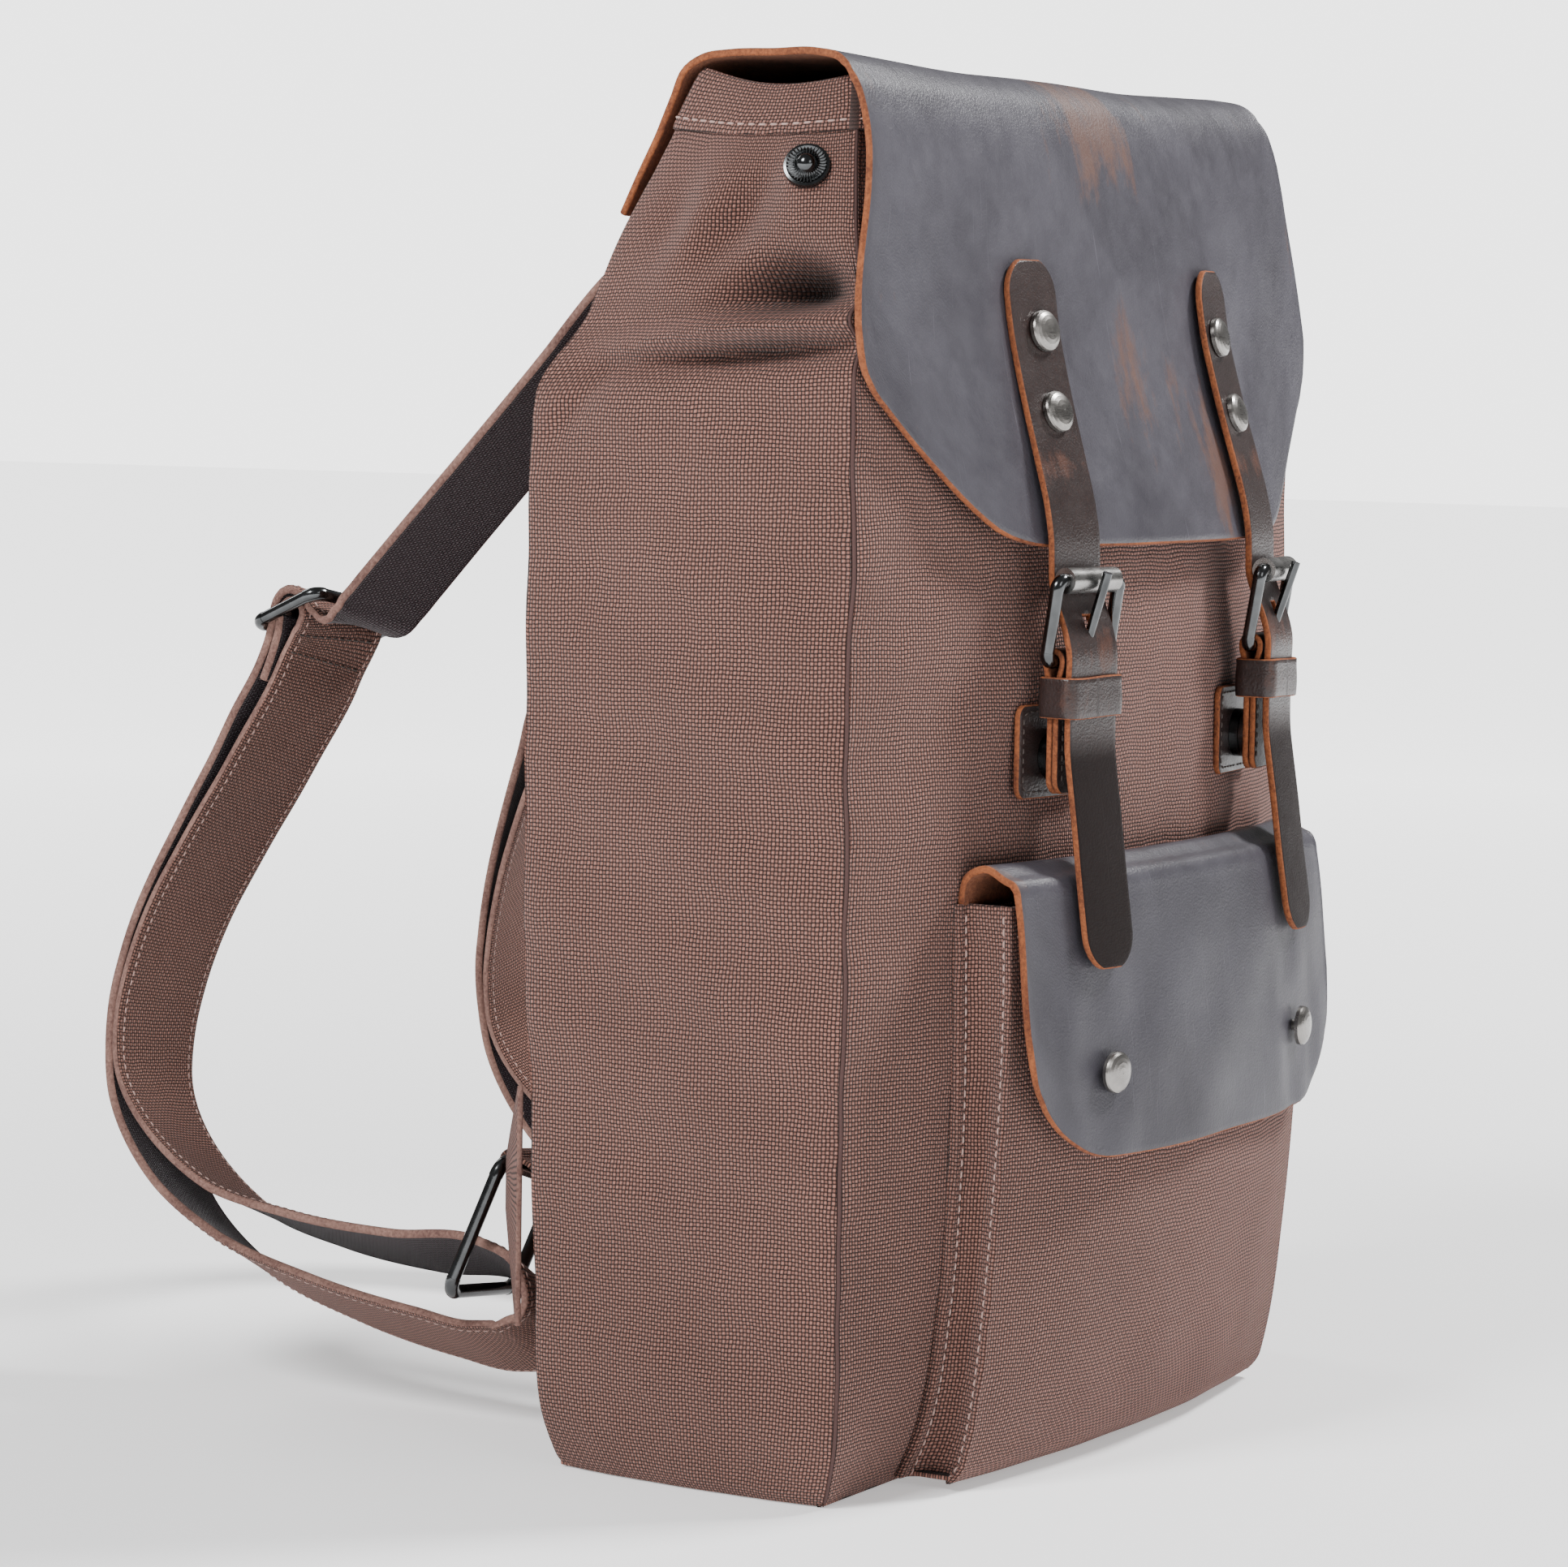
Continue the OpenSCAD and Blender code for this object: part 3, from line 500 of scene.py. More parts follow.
GUNMETAL = metal_material("dark_gunmetal", (0.085, 0.088, 0.09), 0.17, (900, 200, 900))
BRUSHED = metal_material("brushed_roller", (0.32, 0.31, 0.30), 0.28, (150, 2500, 2500))
BOARD_MAT = Graph("stiffener", (0.03, 0.03, 0.03), 0.8).material
HIDE = [FLAP_MAT, EDGE, FLESH]
STRAP_HIDE = [STRAP_MAT, EDGE, FLESH]
SAILCLOTH = [CANVAS_MAT, CANVAS_MAT, LINING_MAT]
WEBBING = [WEB_MAT, WEB_EDGE, WEB_BACK]


# ---- canvas body ----
RING = {"front": 300, "right": 120, "back": 300, "left": 120}
RING_N = sum(RING.values())
# places of the seams round the outline
FRONT_L, FRONT_R, BACK_R, BACK_L = SEAMS = 0, 300, 420, 720


def side_share(place):
    """0 at a side wall's front seam, 1 at its back seam. Off the side walls it lies outside that range."""
    return np.where(place >= BACK_L, RING_N - place, place - FRONT_R) / RING["right"]


def cavity_share(a, z):
    """Where the gusset falls in behind the flap: sharp below, soft above."""
    low = 367 - 6 * (a - 0.2)
    return bump(a, 0.24, 0.16) * np.where(z > low, bump(z, low, 10), bump(z, low, 4.5))


def ridge_at(a):
    """Height of the bulge that the canvas makes under the fold."""
    return 361 - 6 * a - 8 * a**3


def side_fold(a, z, right):
    """How far the gusset is pushed in. a goes from its front seam to its back seam."""
    ridge = ridge_at(a)
    # depth, then where it lies and how far it reaches across, then the same up the bag
    folds = [
        (-9.0, 0.36, 0.42, ridge - 1, 4.2),  # lip
        (9.0, 0.34, 0.34, ridge - 8.5, 4.6),  # hollow under the lip
        (8, 0.46 - 0.006 * (z - 392), 0.085, 388, 15),  # valley
        (-5, 0.62, 0.12, 386, 22), (-3.5, 0.24, 0.10, 402, 11),  # shoulders
        (3.0, 0.76, 0.08, 391, 10),  # dent
        (4.5, 0.87 - 0.006 * (z - 330), 0.035, 333, 12),  # crease
        (4.0, 0.86, 0.12, 346, 6),  # heel
    ]
    push = 25 * cavity_share(a, z)
    for depth, across, reach, height, spread in folds:
        push = push + depth * bump(a, across, reach) * bump(z, height, spread)
    return (0.85 if right else 1.0) * push


def fold_shade(a, z):
    """Depth of the painted shadow that lies in the folds, as negative values of the third cloth channel."""
    below = ridge_at(a) - 7
    deep = cavity_share(a, z) + 0.55 * bump(z, below, 4.0) * bump(a, 0.24, 0.26)
    return -np.clip(deep + 0.2 * bump(z, below, 3.5) * bump(a, 0.6, 0.3), 0, 1)


def body_rings(zs, inset=0.0):
    """The bag's outline at each height, as rows of points: front, right, back and left."""
    zs = np.asarray(zs, float)[:, None]
    a = {k: np.arange(n)[None, :] / n for k, n in RING.items()}
    half, near, far = shape(zs, 1), shape(zs, 2), shape(zs, 3)
    front_x, back_x = (2 * a["front"] - 1) * half, (1 - 2 * a["back"]) * half
    walls = {"front": (front_x, front_face(front_x, zs)),
             "back": (back_x, far + BACK_CROWN * bulge(back_x / half))}
    for side, share, sign in (("right", a["right"], 1), ("left", 1 - a["left"], -1)):
        push = side_fold(share, zs, side == "right")
        push = push + 1.5 * ripple(share * 118 + 40 * sign, zs, 3) * bump(zs, 200, 170)
        push = push + 0.35 * ripple(share * 354 + 40 * sign, zs * 2.4, 9)
        x = half + SIDE_CROWN * bulge(2 * share - 1) - push
        walls[side] = (sign * x, near * (1 - share) + far * share)
    grid = np.concatenate([np.stack(np.broadcast_arrays(*walls[k], zs), -1) for k in RING], axis=1)
    # the fold carries the front seam in with it, behind the flap
    place = np.arange(RING_N)
    front = place < FRONT_R
    for seam, sign, right in ((FRONT_L, -1, False), (FRONT_R, 1, True)):
        reach = np.abs((place - seam + RING_N // 2) % RING_N - RING_N // 2)
        fade = np.where(front, np.clip(1 - reach / 34, 0, 1) ** 2, 0)[None, :]
        grid[..., 0] -= sign * side_fold(0.0, zs, right) * fade
    flat_x, flat_z = grid[:, front, 0], grid[:, front, 2]
    grid[:, front, 1] -= 1.5 * ripple(flat_x, flat_z, 5) * bump(flat_z, 240, 110)
    grid[:, front, 1] -= 0.35 * ripple(flat_x * 2.6, flat_z * 2.6, 7)
    back = slice(BACK_R, BACK_L)
    grid[:, back, 1] += 1.2 * ripple(grid[:, back, 0], grid[:, back, 2], 8)
    # behind the mouth the canvas is drawn forward, away from the flap's back strip
    depth = np.clip((grid[..., 1] + 50) / 100, 0, 1)
    corner = np.clip((np.abs(grid[..., 0]) - 100) / 35, 0, 1) ** 2
    pulled = np.clip((zs - 336) / 26, 0, 1)
    pulled = pulled**2 * (3 - 2 * pulled)
    grid[..., 1] -= (3.0 + 4.5 * corner) * depth * pulled
    grid[..., 0] -= np.sign(grid[..., 0]) * 6.0 * corner * depth**2 * pulled
    reach = range(-9, 10)
    soften = np.exp(-((np.array(reach) / 4.0) ** 2))
    soften /= soften.sum()
    grid = sum(w * np.roll(grid, k, axis=1) for k, w in zip(reach, soften))
    low = np.clip(1 - zs / 5, 0, 1) ** 2 * 2.2
    return grid - ring_outward(grid) * (inset + low)[..., None]


def body_columns():
    """Ring places that carry a column of the body's mesh, close together at the four seams."""
    chosen = set(range(0, RING_N, 4))
    for seam in SEAMS:
        chosen = chosen | {(seam + k) % RING_N for k in range(-2, 3)}
    return sorted(chosen)


def canvas_body():
    columns = body_columns()
    zs = np.concatenate([np.arange(0.3, 5, 0.9), np.arange(6, 318, 4), np.arange(318, 424, 1.7)])
    grid = body_rings(zs)[:, columns]
    grid[..., 2] += rim_rise(np.array(columns))[None, :] * np.clip((grid[..., 2] - 405) / 29, 0, 1)
    inward = -grid_normals(grid, True)
    for seam, depth in zip(SEAMS, (1.5, 1.5, 0.7, 0.7)):
        for k, share in ((0, 1.0), (-1, -0.3), (1, -0.3)):
            j = (columns.index(seam) + k) % len(columns)
            grid[:, j] += inward[:, j] * depth * share
    places = np.array(columns)
    share = side_share(places)
    # the painted shade runs on round the front seams, and fades out
    past = np.minimum(places, np.abs(FRONT_R - places))
    beside = np.where((places < FRONT_R) & (past < 12), past / 60, 9)
    share = np.where((share >= 0) & (share <= 1), share, beside)
    wear = fold_shade(share[None, :], zs[:, None])
    body = shell("canvas_body", grid, 1.3, SAILCLOTH, wrap=True, wear=wear)
    piece(body, "canvas", "front_panel", "back_panel", "side_panel_left", "side_panel_right")
    for seam, side in zip(SEAMS, SIDES):
        piece(tube("seam_line_" + side, body_rings(zs[2:], 0.2)[:, seam], 0.75, GROOVE), "canvas")


def tube(name, path, radius, material, sides=8):
    path = np.asarray(path, float)
    along = unit(np.gradient(path, axis=0))
    one = unit(np.cross(along, [0.3, 1.0, 0.1]))
    two = np.cross(along, one)
    points, coords = [], []
    for i, done in enumerate(lengths(path)):
        for t in 2 * math.pi * np.arange(sides) / sides:
            points.append(path[i] + (one[i] * math.cos(t) + two[i] * math.sin(t)) * radius)
            coords.append((t * radius, done, 0))
    faces = ring_faces(len(path), sides, flip=True)
    faces += [tuple(range(sides)), tuple(range(len(points) - sides, len(points)))[::-1]]
    return build(name, points, faces, [material], coords)


def rim_rise(place):
    """How the mouth's edge sags at the side walls and rises at their back corners, round the outline."""
    share = np.clip(side_share(place), 0, 1)
    side = share == side_share(place)
    on_side_walls = 3.0 * share**2.2 - 3.5 * np.sin(math.pi * share)
    across = np.abs((place - 570) / 150.0)
    behind = 3.0 * np.clip(across, 0, 1) ** 12 - (1 - across**2)
    return np.where(side, on_side_walls, np.where(place < FRONT_R, -bulge((place - 150) / 150.0), behind))


def mouth_hem():
    columns = list(range(0, RING_N, 4))
    profile = [(-1.0, 417.2), (-1.25, 418.5), (-1.2, 424), (-1.1, 430), (-0.8, 432.8), (0.1, 434.2),
               (1.2, 434.3), (2.1, 433.2), (2.4, 430), (2.4, 424), (2.4, 418)]
    rows = []
    for inset, z in profile:
        ring = body_rings([min(z, 433.9)], inset)[0, columns]
        ring[:, 2] = z + rim_rise(np.array(columns)) * (z - 405) / 29
        rows.append(ring)
    piece(shell("mouth_hem_canvas", rows, 0.7, [CANVAS_MAT] * 3, wrap=True), "canvas", "mouth_hem")
    path = body_rings([420.3], -1.35)[0]
    path[:, 2] += rim_rise(np.arange(RING_N)) * 15.3 / 29
    stitches("hem_stitches", "canvas", [(path, ring_outward(path))], THREAD, 2.7, 3.9, 0.4)


def base_and_inside():
    a, b = np.meshgrid(np.linspace(-1, 1, 40), np.linspace(1, -1, 18))
    y = -49 + (96 + 2 * (1 - a * a)) * (b + 1) / 2
    grid = np.stack([a * 145, y, 0.1 + 0.5 * np.maximum(np.abs(a), np.abs(b)) ** 6], -1)
    piece(shell("canvas_base", grid, 1.8, SAILCLOTH), "canvas", "base_panel")
    zs = np.concatenate([[5.4], np.arange(15, 318, 12), np.arange(318, 418, 4)])
    rings = body_rings(zs, 2.3)[:, ::7]
    piece(shell("lining_cloth", rings, 0.6, [LINING_MAT] * 3, wrap=True), "lining", "lining")
    x, z = np.meshgrid(np.linspace(-119, 119, 30), np.linspace(13, 262, 26))
    rows = np.stack([x, 35.5 - 1.6 * bulge(2 * (z - 13) / 249 - 1) * bulge(x / 119), z], -1)
    piece(shell("sleeve_cloth", rows, 1.2, [LINING_MAT] * 3), "lining", "laptop_sleeve")
    edge = [(x, 35.2, 262.5) for x in np.linspace(-119, 119, 30)]
    piece(tube("sleeve_binding", edge, 1.8, STRAP_MAT), "lining")


# ---- leather flap ----
# depth, height, bulge of the middle and half width of the flap's outer face, from back over top to front
FLAP_ROUTE = [
    (41.5, 393, 4, 131), (35.5, 405, 4, 130.5), (28.8, 418, 4, 129.5), (24.2, 428, 4, 129),
    (20.4, 435.4, 3, 128.8), (13, 439.4, 1.2, 128.6), (2, 440.6, 0.4, 129), (-15, 440.4, 0, 131),
    (-32, 440.0, -0.4, 134.6),
    (-42.5, 437.6, -1.0, 137.4), (-48.4, 432, -2.2, 139), (-51.8, 424, -3.4, 140), (-54, 413, -4.8, 141.4),
    (-55.2, 399, -6.6, 144), (-56.6, 379, -8.8, 148.6), (-58.6, 358, -10.4, 152), (-60.2, 340, -13.6, 153.2),
    (-61.8, 325, -17, 153), (-63.2, 310, -20.4, 152), (-64.8, 291, -24, 151),
]
# half width of the flap at its widest, and the depth on top where its two sheets meet
FLAP_HALF, SHEETS_MEET = 153.2, -8
# height of the hem at each distance from the middle
FLAP_HEM = [(0, 292.6), (60, 292.9), (86, 294), (98, 297.6), (108, 304), (124, 318), (140, 333), (148, 342),
            (151.5, 349.5), (153.4, 360)]


def flap_grid(front_part, rows):
    """The flap's outer face before or behind its top back edge. In front its last row is the rounded hem."""
    route = spline([(0, y, z, b, w) for y, z, b, w in FLAP_ROUTE], 420)
    run = lengths(route[:, :3])
    split = np.interp(-SHEETS_MEET, -route[:, 1], run)
    shares = np.sin(np.linspace(-1, 1, 73) * math.pi / 2)
    grid = np.zeros((rows, len(shares), 3))
    for j, u in enumerate(shares):
        at = split * np.linspace(0, 1, rows)
        if front_part:
            bottom = hermite(*zip(*FLAP_HEM), abs(u) * FLAP_HALF)
            front = route[:, 1] < -43
            stop = np.interp(-bottom, -route[front, 2], run[front])
            at = split + (stop - split) * np.linspace(0, 1, rows)
        y, z, b, w = sample(at, run, route[:, 1:]).T
        x = u * w * (1 + 0.006 * np.sin(at / 23.0 + 2 * np.sign(u)) * abs(u) ** 8)
        side = bulge(x / HALF_W) if front_part else bulge(u)
        top = bump(z, 441, 7) * (y > -46)
        lift = 1.6 * top * abs(u) ** 3 - 0.9 * top * bulge(u) * np.sin(x / 41.0) ** 2
        dent = 0.8 * ripple(x, at, 2) * np.clip((at - split) / 60, 0, 1) * bump(z, 370, 60)
        curl = -1.6 * abs(u) ** 10 * bump(z, 345, 45) * (z < 420)
        grid[:, j] = np.stack([x, y + b * side + curl - dent, z + lift], -1)
    return grid


def flap():
    back, front = flap_grid(False, 34), flap_grid(True, 84)
    x, z = front[..., 0], front[..., 2]
    wear = 1.1 * bump(x, 2, 26) * bump(z, 425, 24) + 0.9 * bump(x, 42, 14) * bump(z, 322, 34)
    wear = wear + 0.7 * bump(x, -6, 16) * bump(z, 345, 30) + 0.5 * np.abs(x / 153) ** 24
    # rows run over the top and down the front, so they are turned to go up seen from outside
    obj = shell("flap_leather_back", back[::-1], LEATHER, HIDE, open_rows=[0])
    blended(obj, "flap_leather", ["flap_back_edge"], (0, 26, 429), (0, 15, 439))
    obj = shell("flap_leather_front", front[::-1], LEATHER, HIDE, open_rows=[len(front) - 1], wear=wear[::-1],
                start=(0, -74))
    blended(obj, "flap_leather", ["flap_top", "flap_front"], (0, -34, 440),
                 (0, -47, 432))
    x = np.linspace(131, -131, 60)
    path = np.stack([x, 39.5 + 4 * bulge(x / 131) + 0.25, np.full(60, 397.0)], -1)
    runs = [(path, np.tile([0, 1, 0.45], (60, 1)))]
    stitches("flap_back_stitches", "flap_leather", runs, THREAD, 2.7, 3.8, 0.4)


# ---- closure straps: points across, outward and up from the buckle's lower bar ----
BAR = (-66, -88, 257)
YAW = 8
STRAP_ROUTE = [
    (15.5, -95), (13.6, -82), (11.3, -67), (9, -50), (7.2, -38), (5.9, -28.4), (5.6, -18), (5.7, -6),
    (5.7, 3), (4.2, 9), (0.6, 18), (-1.3, 24), (-1.6, 30), (-1.9, 37), (-3.6, 47), (-7.9, 62),
    (-11.9, 75), (-15.6, 88), (-18.9, 101), (-21.2, 115), (-22.4, 124),
]


def at_strap(across, out, up, right):
    """Places points of the left strap's frame, and mirrors them for the right one."""
    local = np.stack(np.broadcast_arrays(across, -np.asarray(out, float), up), -1).astype(float)
    return mirror(turned(local, (0, 0, -YAW)) + np.array(BAR), right)


def strap_side(grid, right):
    return grid[:, ::-1] if right else grid


def end_spacing(total, radius, middle):
    """Places along a strip, close together at its two rounded ends."""
    curve = radius * (1 - np.cos(np.linspace(0.25, 1, 9) * math.pi / 2))
    return np.concatenate([curve, np.linspace(radius, total - radius, middle)[1:-1], total - curve[::-1]])


def rounded_half(at, total, half, radius):
    """Half width at each place of a strip whose ends have rounded corners."""
    edge = np.clip(np.minimum(at, total - at), 0, radius)
    return half - radius + np.sqrt(np.maximum(radius**2 - (radius - edge) ** 2, 0))


def mirrored(*shares):
    """Shares of the half width, from the left edge through the middle to the right edge."""
    return np.array([-s for s in shares[::-1]] + [0.0] + list(shares))


def strip_piece(name, right, at, half, shares, out, up, thick, hole=None, **looks):
    """A strip in the strap's frame. hole gives the rows and the middle share that are cut through."""
    across = shares[None, :] * half[:, None]
    grid = at_strap(across, out, up[:, None], right)
    keep = None
    if hole:
        keep = np.ones((len(at) - 1, len(shares) - 1), bool)
        keep[np.ix_(hole[0], np.abs(shares[:-1] + shares[1:]) / 2 < hole[1])] = False
    return shell(name, strap_side(grid, right), thick, STRAP_HIDE, keep=keep, **looks)


def strip_places(path, count, end, middle, corner):
    """Places along a strip that follows a path, with its half width, distance out and height at each."""
    route = spline([(0, out, up) for out, up in path], count)
    run = lengths(route)
    at = end_spacing(run[-1], end, middle)
    return at, rounded_half(at, run[-1], STRAP_W / 2, corner), *sample(at, run, route[:, 1:]).T


def closure_strap(right):
    side = SIDES[right]
    at, half, out, up = strip_places(STRAP_ROUTE, 500, STRAP_W / 2, 118, STRAP_W / 2 - 0.5)
    shares = mirrored(0.2, 0.36, 0.54, 0.72, 0.9, 1.0)
    face = out[:, None] + STRAP_T / 2 + 0.35 * bulge(shares)[None, :] * bump(up, -50, 60)[:, None]
    hole = (up[:-1] > 9.6) & (up[1:] < 16.0), 0.2
    # the rises at the two folds are rubbed wear that brings out rust; below up -20 the tail turns negative:
    # its own matt fibrous end, and painted shade that darkens it
    wear = 0.9 * (bump(up, 3, 12) + bump(up, 60, 8)) - np.clip((-20 - up) / 10, 0, 1)
    obj = strip_piece("closure_strap_" + side, right, at, half, shares, face, up, STRAP_T, hole,
                      wear=wear[:, None], start=(0, 40 if right else 0))
    blended(obj, "strap_leather", ["flap_strap_" + side, "strap_tail_" + side],
            at_strap(0, 5.6, -25, right), at_strap(0, 6.2, -32, right))


def rounded_ring(width, depth, radius, count):
    """Points round a rounded rectangle, counter-clockwise from the middle of its near side."""
    w, d = width / 2 - radius, depth / 2 - radius
    corners = [(w, -d, -90), (w, d, 0), (-w, d, 90), (-w, -d, 180)]
    points = [(0.0, -depth / 2)]
    for x, y, begin in corners:
        points += [(x + a, y + b) for a, b in circle(radius, np.linspace(begin, begin + 90, 7))]
    points = np.array(points + points[:1])
    run = lengths(points)
    return sample(np.linspace(0, run[-1], count, endpoint=False), run, points)


def keeper(right):
    ring = rounded_ring(28.8, 14.2, 3.4, 64)
    rows = []
    for up in np.linspace(-17, -5, 9):
        x, y = (ring * (1 + 0.012 * math.cos(up * 0.5))).T
        rows.append(at_strap(x, 1.8 - y, up + 0.25 * np.sin(ring[:, 0] / 6), right))
    side = SIDES[right]
    rows = strap_side(np.array(rows), right)
    obj = shell("keeper_band_" + side, rows, 1.8, STRAP_HIDE, wrap=True, wear=0.5, start=(10, 60))
    piece(obj, "strap_leather", "keeper_" + side, body="keeper_" + side)


def chape(right):
    """Leather folded round the buckle's lower bar and stitched to itself below."""
    side = SIDES[right]
    leg = [(2.1, -41), (2.1, -30), (2.1, -18), (2.1, -9), (3.3, -4.2)]
    path = leg + circle(4.15, range(-10, 191, 20)) + [(-out, up) for out, up in leg[::-1]]
    at, half, out, up = strip_places(path, 400, 5, 60, 4.6)
    hole = (up[:-1] > -4.5) & (up[1:] > -4.5), 0.25
    obj = strip_piece("chape_fold_" + side, right, at, half, mirrored(0.25, 0.5, 0.7, 0.9, 1.0),
                      out[:, None], up, 1.9, hole, wear=0.6, start=(30, 90))
    piece(obj, "strap_leather", "chape_" + side, body="flap_front")
    ups = np.linspace(-19, -38, 12)
    lows, highs = ([at_strap(x, out, ups, right) for x in (-9.6, 9.6)] for out in (2.15, 3.15))
    runs = [(low, high - low) for low, high in zip(lows, highs)]
    stitches("chape_stitches_" + side, "strap_leather", runs, DARK_THREAD, 2.2, 3.1, 0.3, "flap_front")


def patch(right):
    """Leather patch on the bag, which holds the lower half of the magnet closure."""
    side = SIDES[right]
    at = end_spacing(29, 4, 14)
    obj = strip_piece("closure_patch_leather_" + side, right, at, rounded_half(at, 29, 17.5, 3.8),
                      np.linspace(-1, 1, 15), -8.4, at - 43, 2.0, wear=0.4, start=(70, 20))
    piece(obj, "strap_leather", "closure_patch_" + side)
    ring = rounded_ring(31, 25, 3, 80)
    ring = np.concatenate([ring, ring[:1]])
    path, above = (at_strap(ring[:, 0], out, ring[:, 1] - 28.5, right) for out in (-8.3, -7.3))
    stitches("patch_stitches_" + side, "strap_leather", [(path, above - path)], DARK_THREAD, 2.1, 3.0, 0.3)


# ---- front pocket ----
# height, edge and crown of the pocket's face
POCKET = [(3, -74, 8), (20, -78, 13), (60, -83, 19), (100, -86, 20.5), (130, -87.5, 17.5), (160, -88, 13),
          (POCKET_TOP, -87.5, 8.5)]
PFLAP_HALF, POCKET_SNAP = 105.6, (67, 130)
# height, edge and crown down the pocket flap's outer face, then the height of its hem
PFLAP = [(192, -86.6, 8.6), (191, -89, 8.8), (188.5, -90.6, 9), (184, -91.4, 9.2), (172, -93, 9.8),
         (160, -94.2, 10.6), (145, -95.5, 11.4), (134, -96.5, 11.8), (124, -97, 12), (116, -97.4, 12),
         (100, -98, 12)]
PFLAP_HEM = [(0, 103.6), (60, 103.7), (73, 104.6), (84, 108.6), (94, 116), (100.5, 124.5), (104, 133),
             (105.6, 145)]


def pocket_face(x, z):
    heights, edge, crown = zip(*POCKET)
    return hermite(heights, edge, z) - hermite(heights, crown, z) * bulge(x / POCKET_HALF)


def pocket():
    zs = np.concatenate([np.linspace(3, 9, 5), np.arange(12, 182, 3), [POCKET_TOP]])
    rows = []
    for z in zs:
        back = front_face(POCKET_HALF + 4, z) - 0.6
        front = pocket_face(POCKET_HALF, z)
        lean = 3.2 * min(1, (POCKET_TOP - z) / 60)
        gusset = [(-3.5, back), (-3.6, back - 2.6), (-0.6, back - 3.2), (lean * 0.6, back - 6),
                  (lean, (back + front) / 2), (lean * 0.5, front + 3.5), (-0.6, front + 1.2),
                  (-0.4, front - 0.2)]
        gusset = spline([(x - POCKET_HALF, y, 0) for x, y in gusset], 26)[:, :2]
        x = np.linspace(-POCKET_HALF + 2, POCKET_HALF - 2, 70)
        face = np.stack([x, pocket_face(x, np.full(70, z)) + 0.6 * ripple(x, z, 4) * bulge(x / 104)], -1)
        ring = np.concatenate([gusset, face, gusset[::-1] * MIRROR[:2]])
        rows.append(np.column_stack([ring, np.full(len(ring), z)]))
    grid = np.array(rows)
    grid[..., 1] += 3.0 * np.maximum(0, 1 - (zs[:, None] - 3) / 7) ** 2 * (grid[..., 1] < -70)
    obj = shell("pocket_canvas", grid, 1.4, SAILCLOTH, start=(3, 5))
    piece(obj, "canvas", "front_pocket", "pocket_gusset_left", "pocket_gusset_right")
    x, z = np.linspace(-POCKET_HALF, POCKET_HALF, 40), np.full(40, 3.4)
    near, far = pocket_face(x, z) + 3.4, front_face(x, z) - 0.6
    floor = [np.stack([x, near + (far - near) * b, z], -1) for b in np.linspace(1, 0, 8)]
    piece(shell("pocket_floor_canvas", floor, 1.4, SAILCLOTH), "canvas", "pocket_floor")
    normal = grid_normals(grid, False)
    runs = [(grid[::step, j] + normal[::step, j] * 0.3, normal[::step, j])
            for j, step in ((6, 1), (22, 1), (-7, -1), (-23, -1))]
    top = grid[-4, 26:-26]
    runs.append((top - np.array([0, 0.3, 0]), np.tile([0, -1.0, 0], (len(top), 1))))
    stitches("pocket_stitches", "canvas", runs, THREAD, 2.5, 3.6, 0.34)


def pocket_flap():
    shares = np.sin(np.linspace(-1, 1, 61) * math.pi / 2)
    rows = 70
    grid = np.zeros((rows, len(shares), 3))
    for j, u in enumerate(shares):
        x = u * PFLAP_HALF
        side = bulge(x / POCKET_HALF)
        y0 = front_face(x, 186)
        first = [(x, y0 - 0.6, 183), (x, y0 - 0.9, 187.5), (x, y0 - 2.4, 192)]
        top = (x, (y0 - 2.4 - 86.6 - 8.6 * side) / 2, 195.6)
        rest = [(x, y - b * side, z) for z, y, b in PFLAP]
        route = spline(first + [top] + rest, 300)
        bottom = hermite(*zip(*PFLAP_HEM), abs(x))
        front = np.arange(300) > 120
        run = lengths(route)
        stop = np.interp(-bottom, -route[front, 2], run[front])
        at = np.linspace(0, stop, rows)
        grid[:, j] = sample(at, run, route)
        wave = 0.7 * ripple(x, at, 6) * np.clip(at / 60, 0, 1)
        grid[:, j, 1] -= wave + 1.2 * abs(u) ** 9 * np.clip(at / 100, 0, 1)
    for snap in (-POCKET_SNAP[0], POCKET_SNAP[0]):
        x, z = grid[..., 0] - snap, grid[..., 2] - POCKET_SNAP[1]
        away = np.hypot(x, z)
        grid[..., 1] += 0.9 * bump(away, 0, 13) - 0.5 * bump(away, 22, 8) * np.sin(x / 4)
    # the rises at the top fold and the side edges are rubbed wear; the -0.32 over the whole flap is painted
    # shade that darkens it, and makes it matt
    wear = 0.6 * bump(grid[..., 2], 193, 5) + 0.5 * np.abs(grid[..., 0] / PFLAP_HALF) ** 26 - 0.32
    obj = shell("pocket_flap_leather", grid[::-1], LEATHER, HIDE, wear=wear[::-1], start=(200, 300))
    blended(obj, "flap_leather", ["pocket_flap_root", "pocket_flap"], (0, -83, 190),
                 (0, -88.5, 190))


# ---- shoulder straps: the left route, each point with the tilt of the webbing's width ----
ROOT = [(-55, 46.8, 407, 0), (-56, 51.2, 399.5, 0), (-57.5, 56.5, 392.5, 0)]
UPPER = [(-59, 62, 385, 0), (-62, 76, 371.5, 1), (-67, 97, 345.7, 4), (-70, 122.7, 317, 7),
         (-74, 149, 287.5, 10), (-77, 162.5, 271.5, 12), (-78.5, 168, 264.8, 12),
         (-79.8, 173.5, 259.4, 12), (-80.3, 178.5, 258.8, 12), (-80.7, 183, 262, 12),
         (-81, 187.5, 265.3, 12), (-81, 191.5, 265.6, 12), (-81, 194.6, 262.5, 12),
         (-81, 195.9, 257.5, 12), (-81, 197.6, 251, 12), (-82, 200.6, 242, 12)]
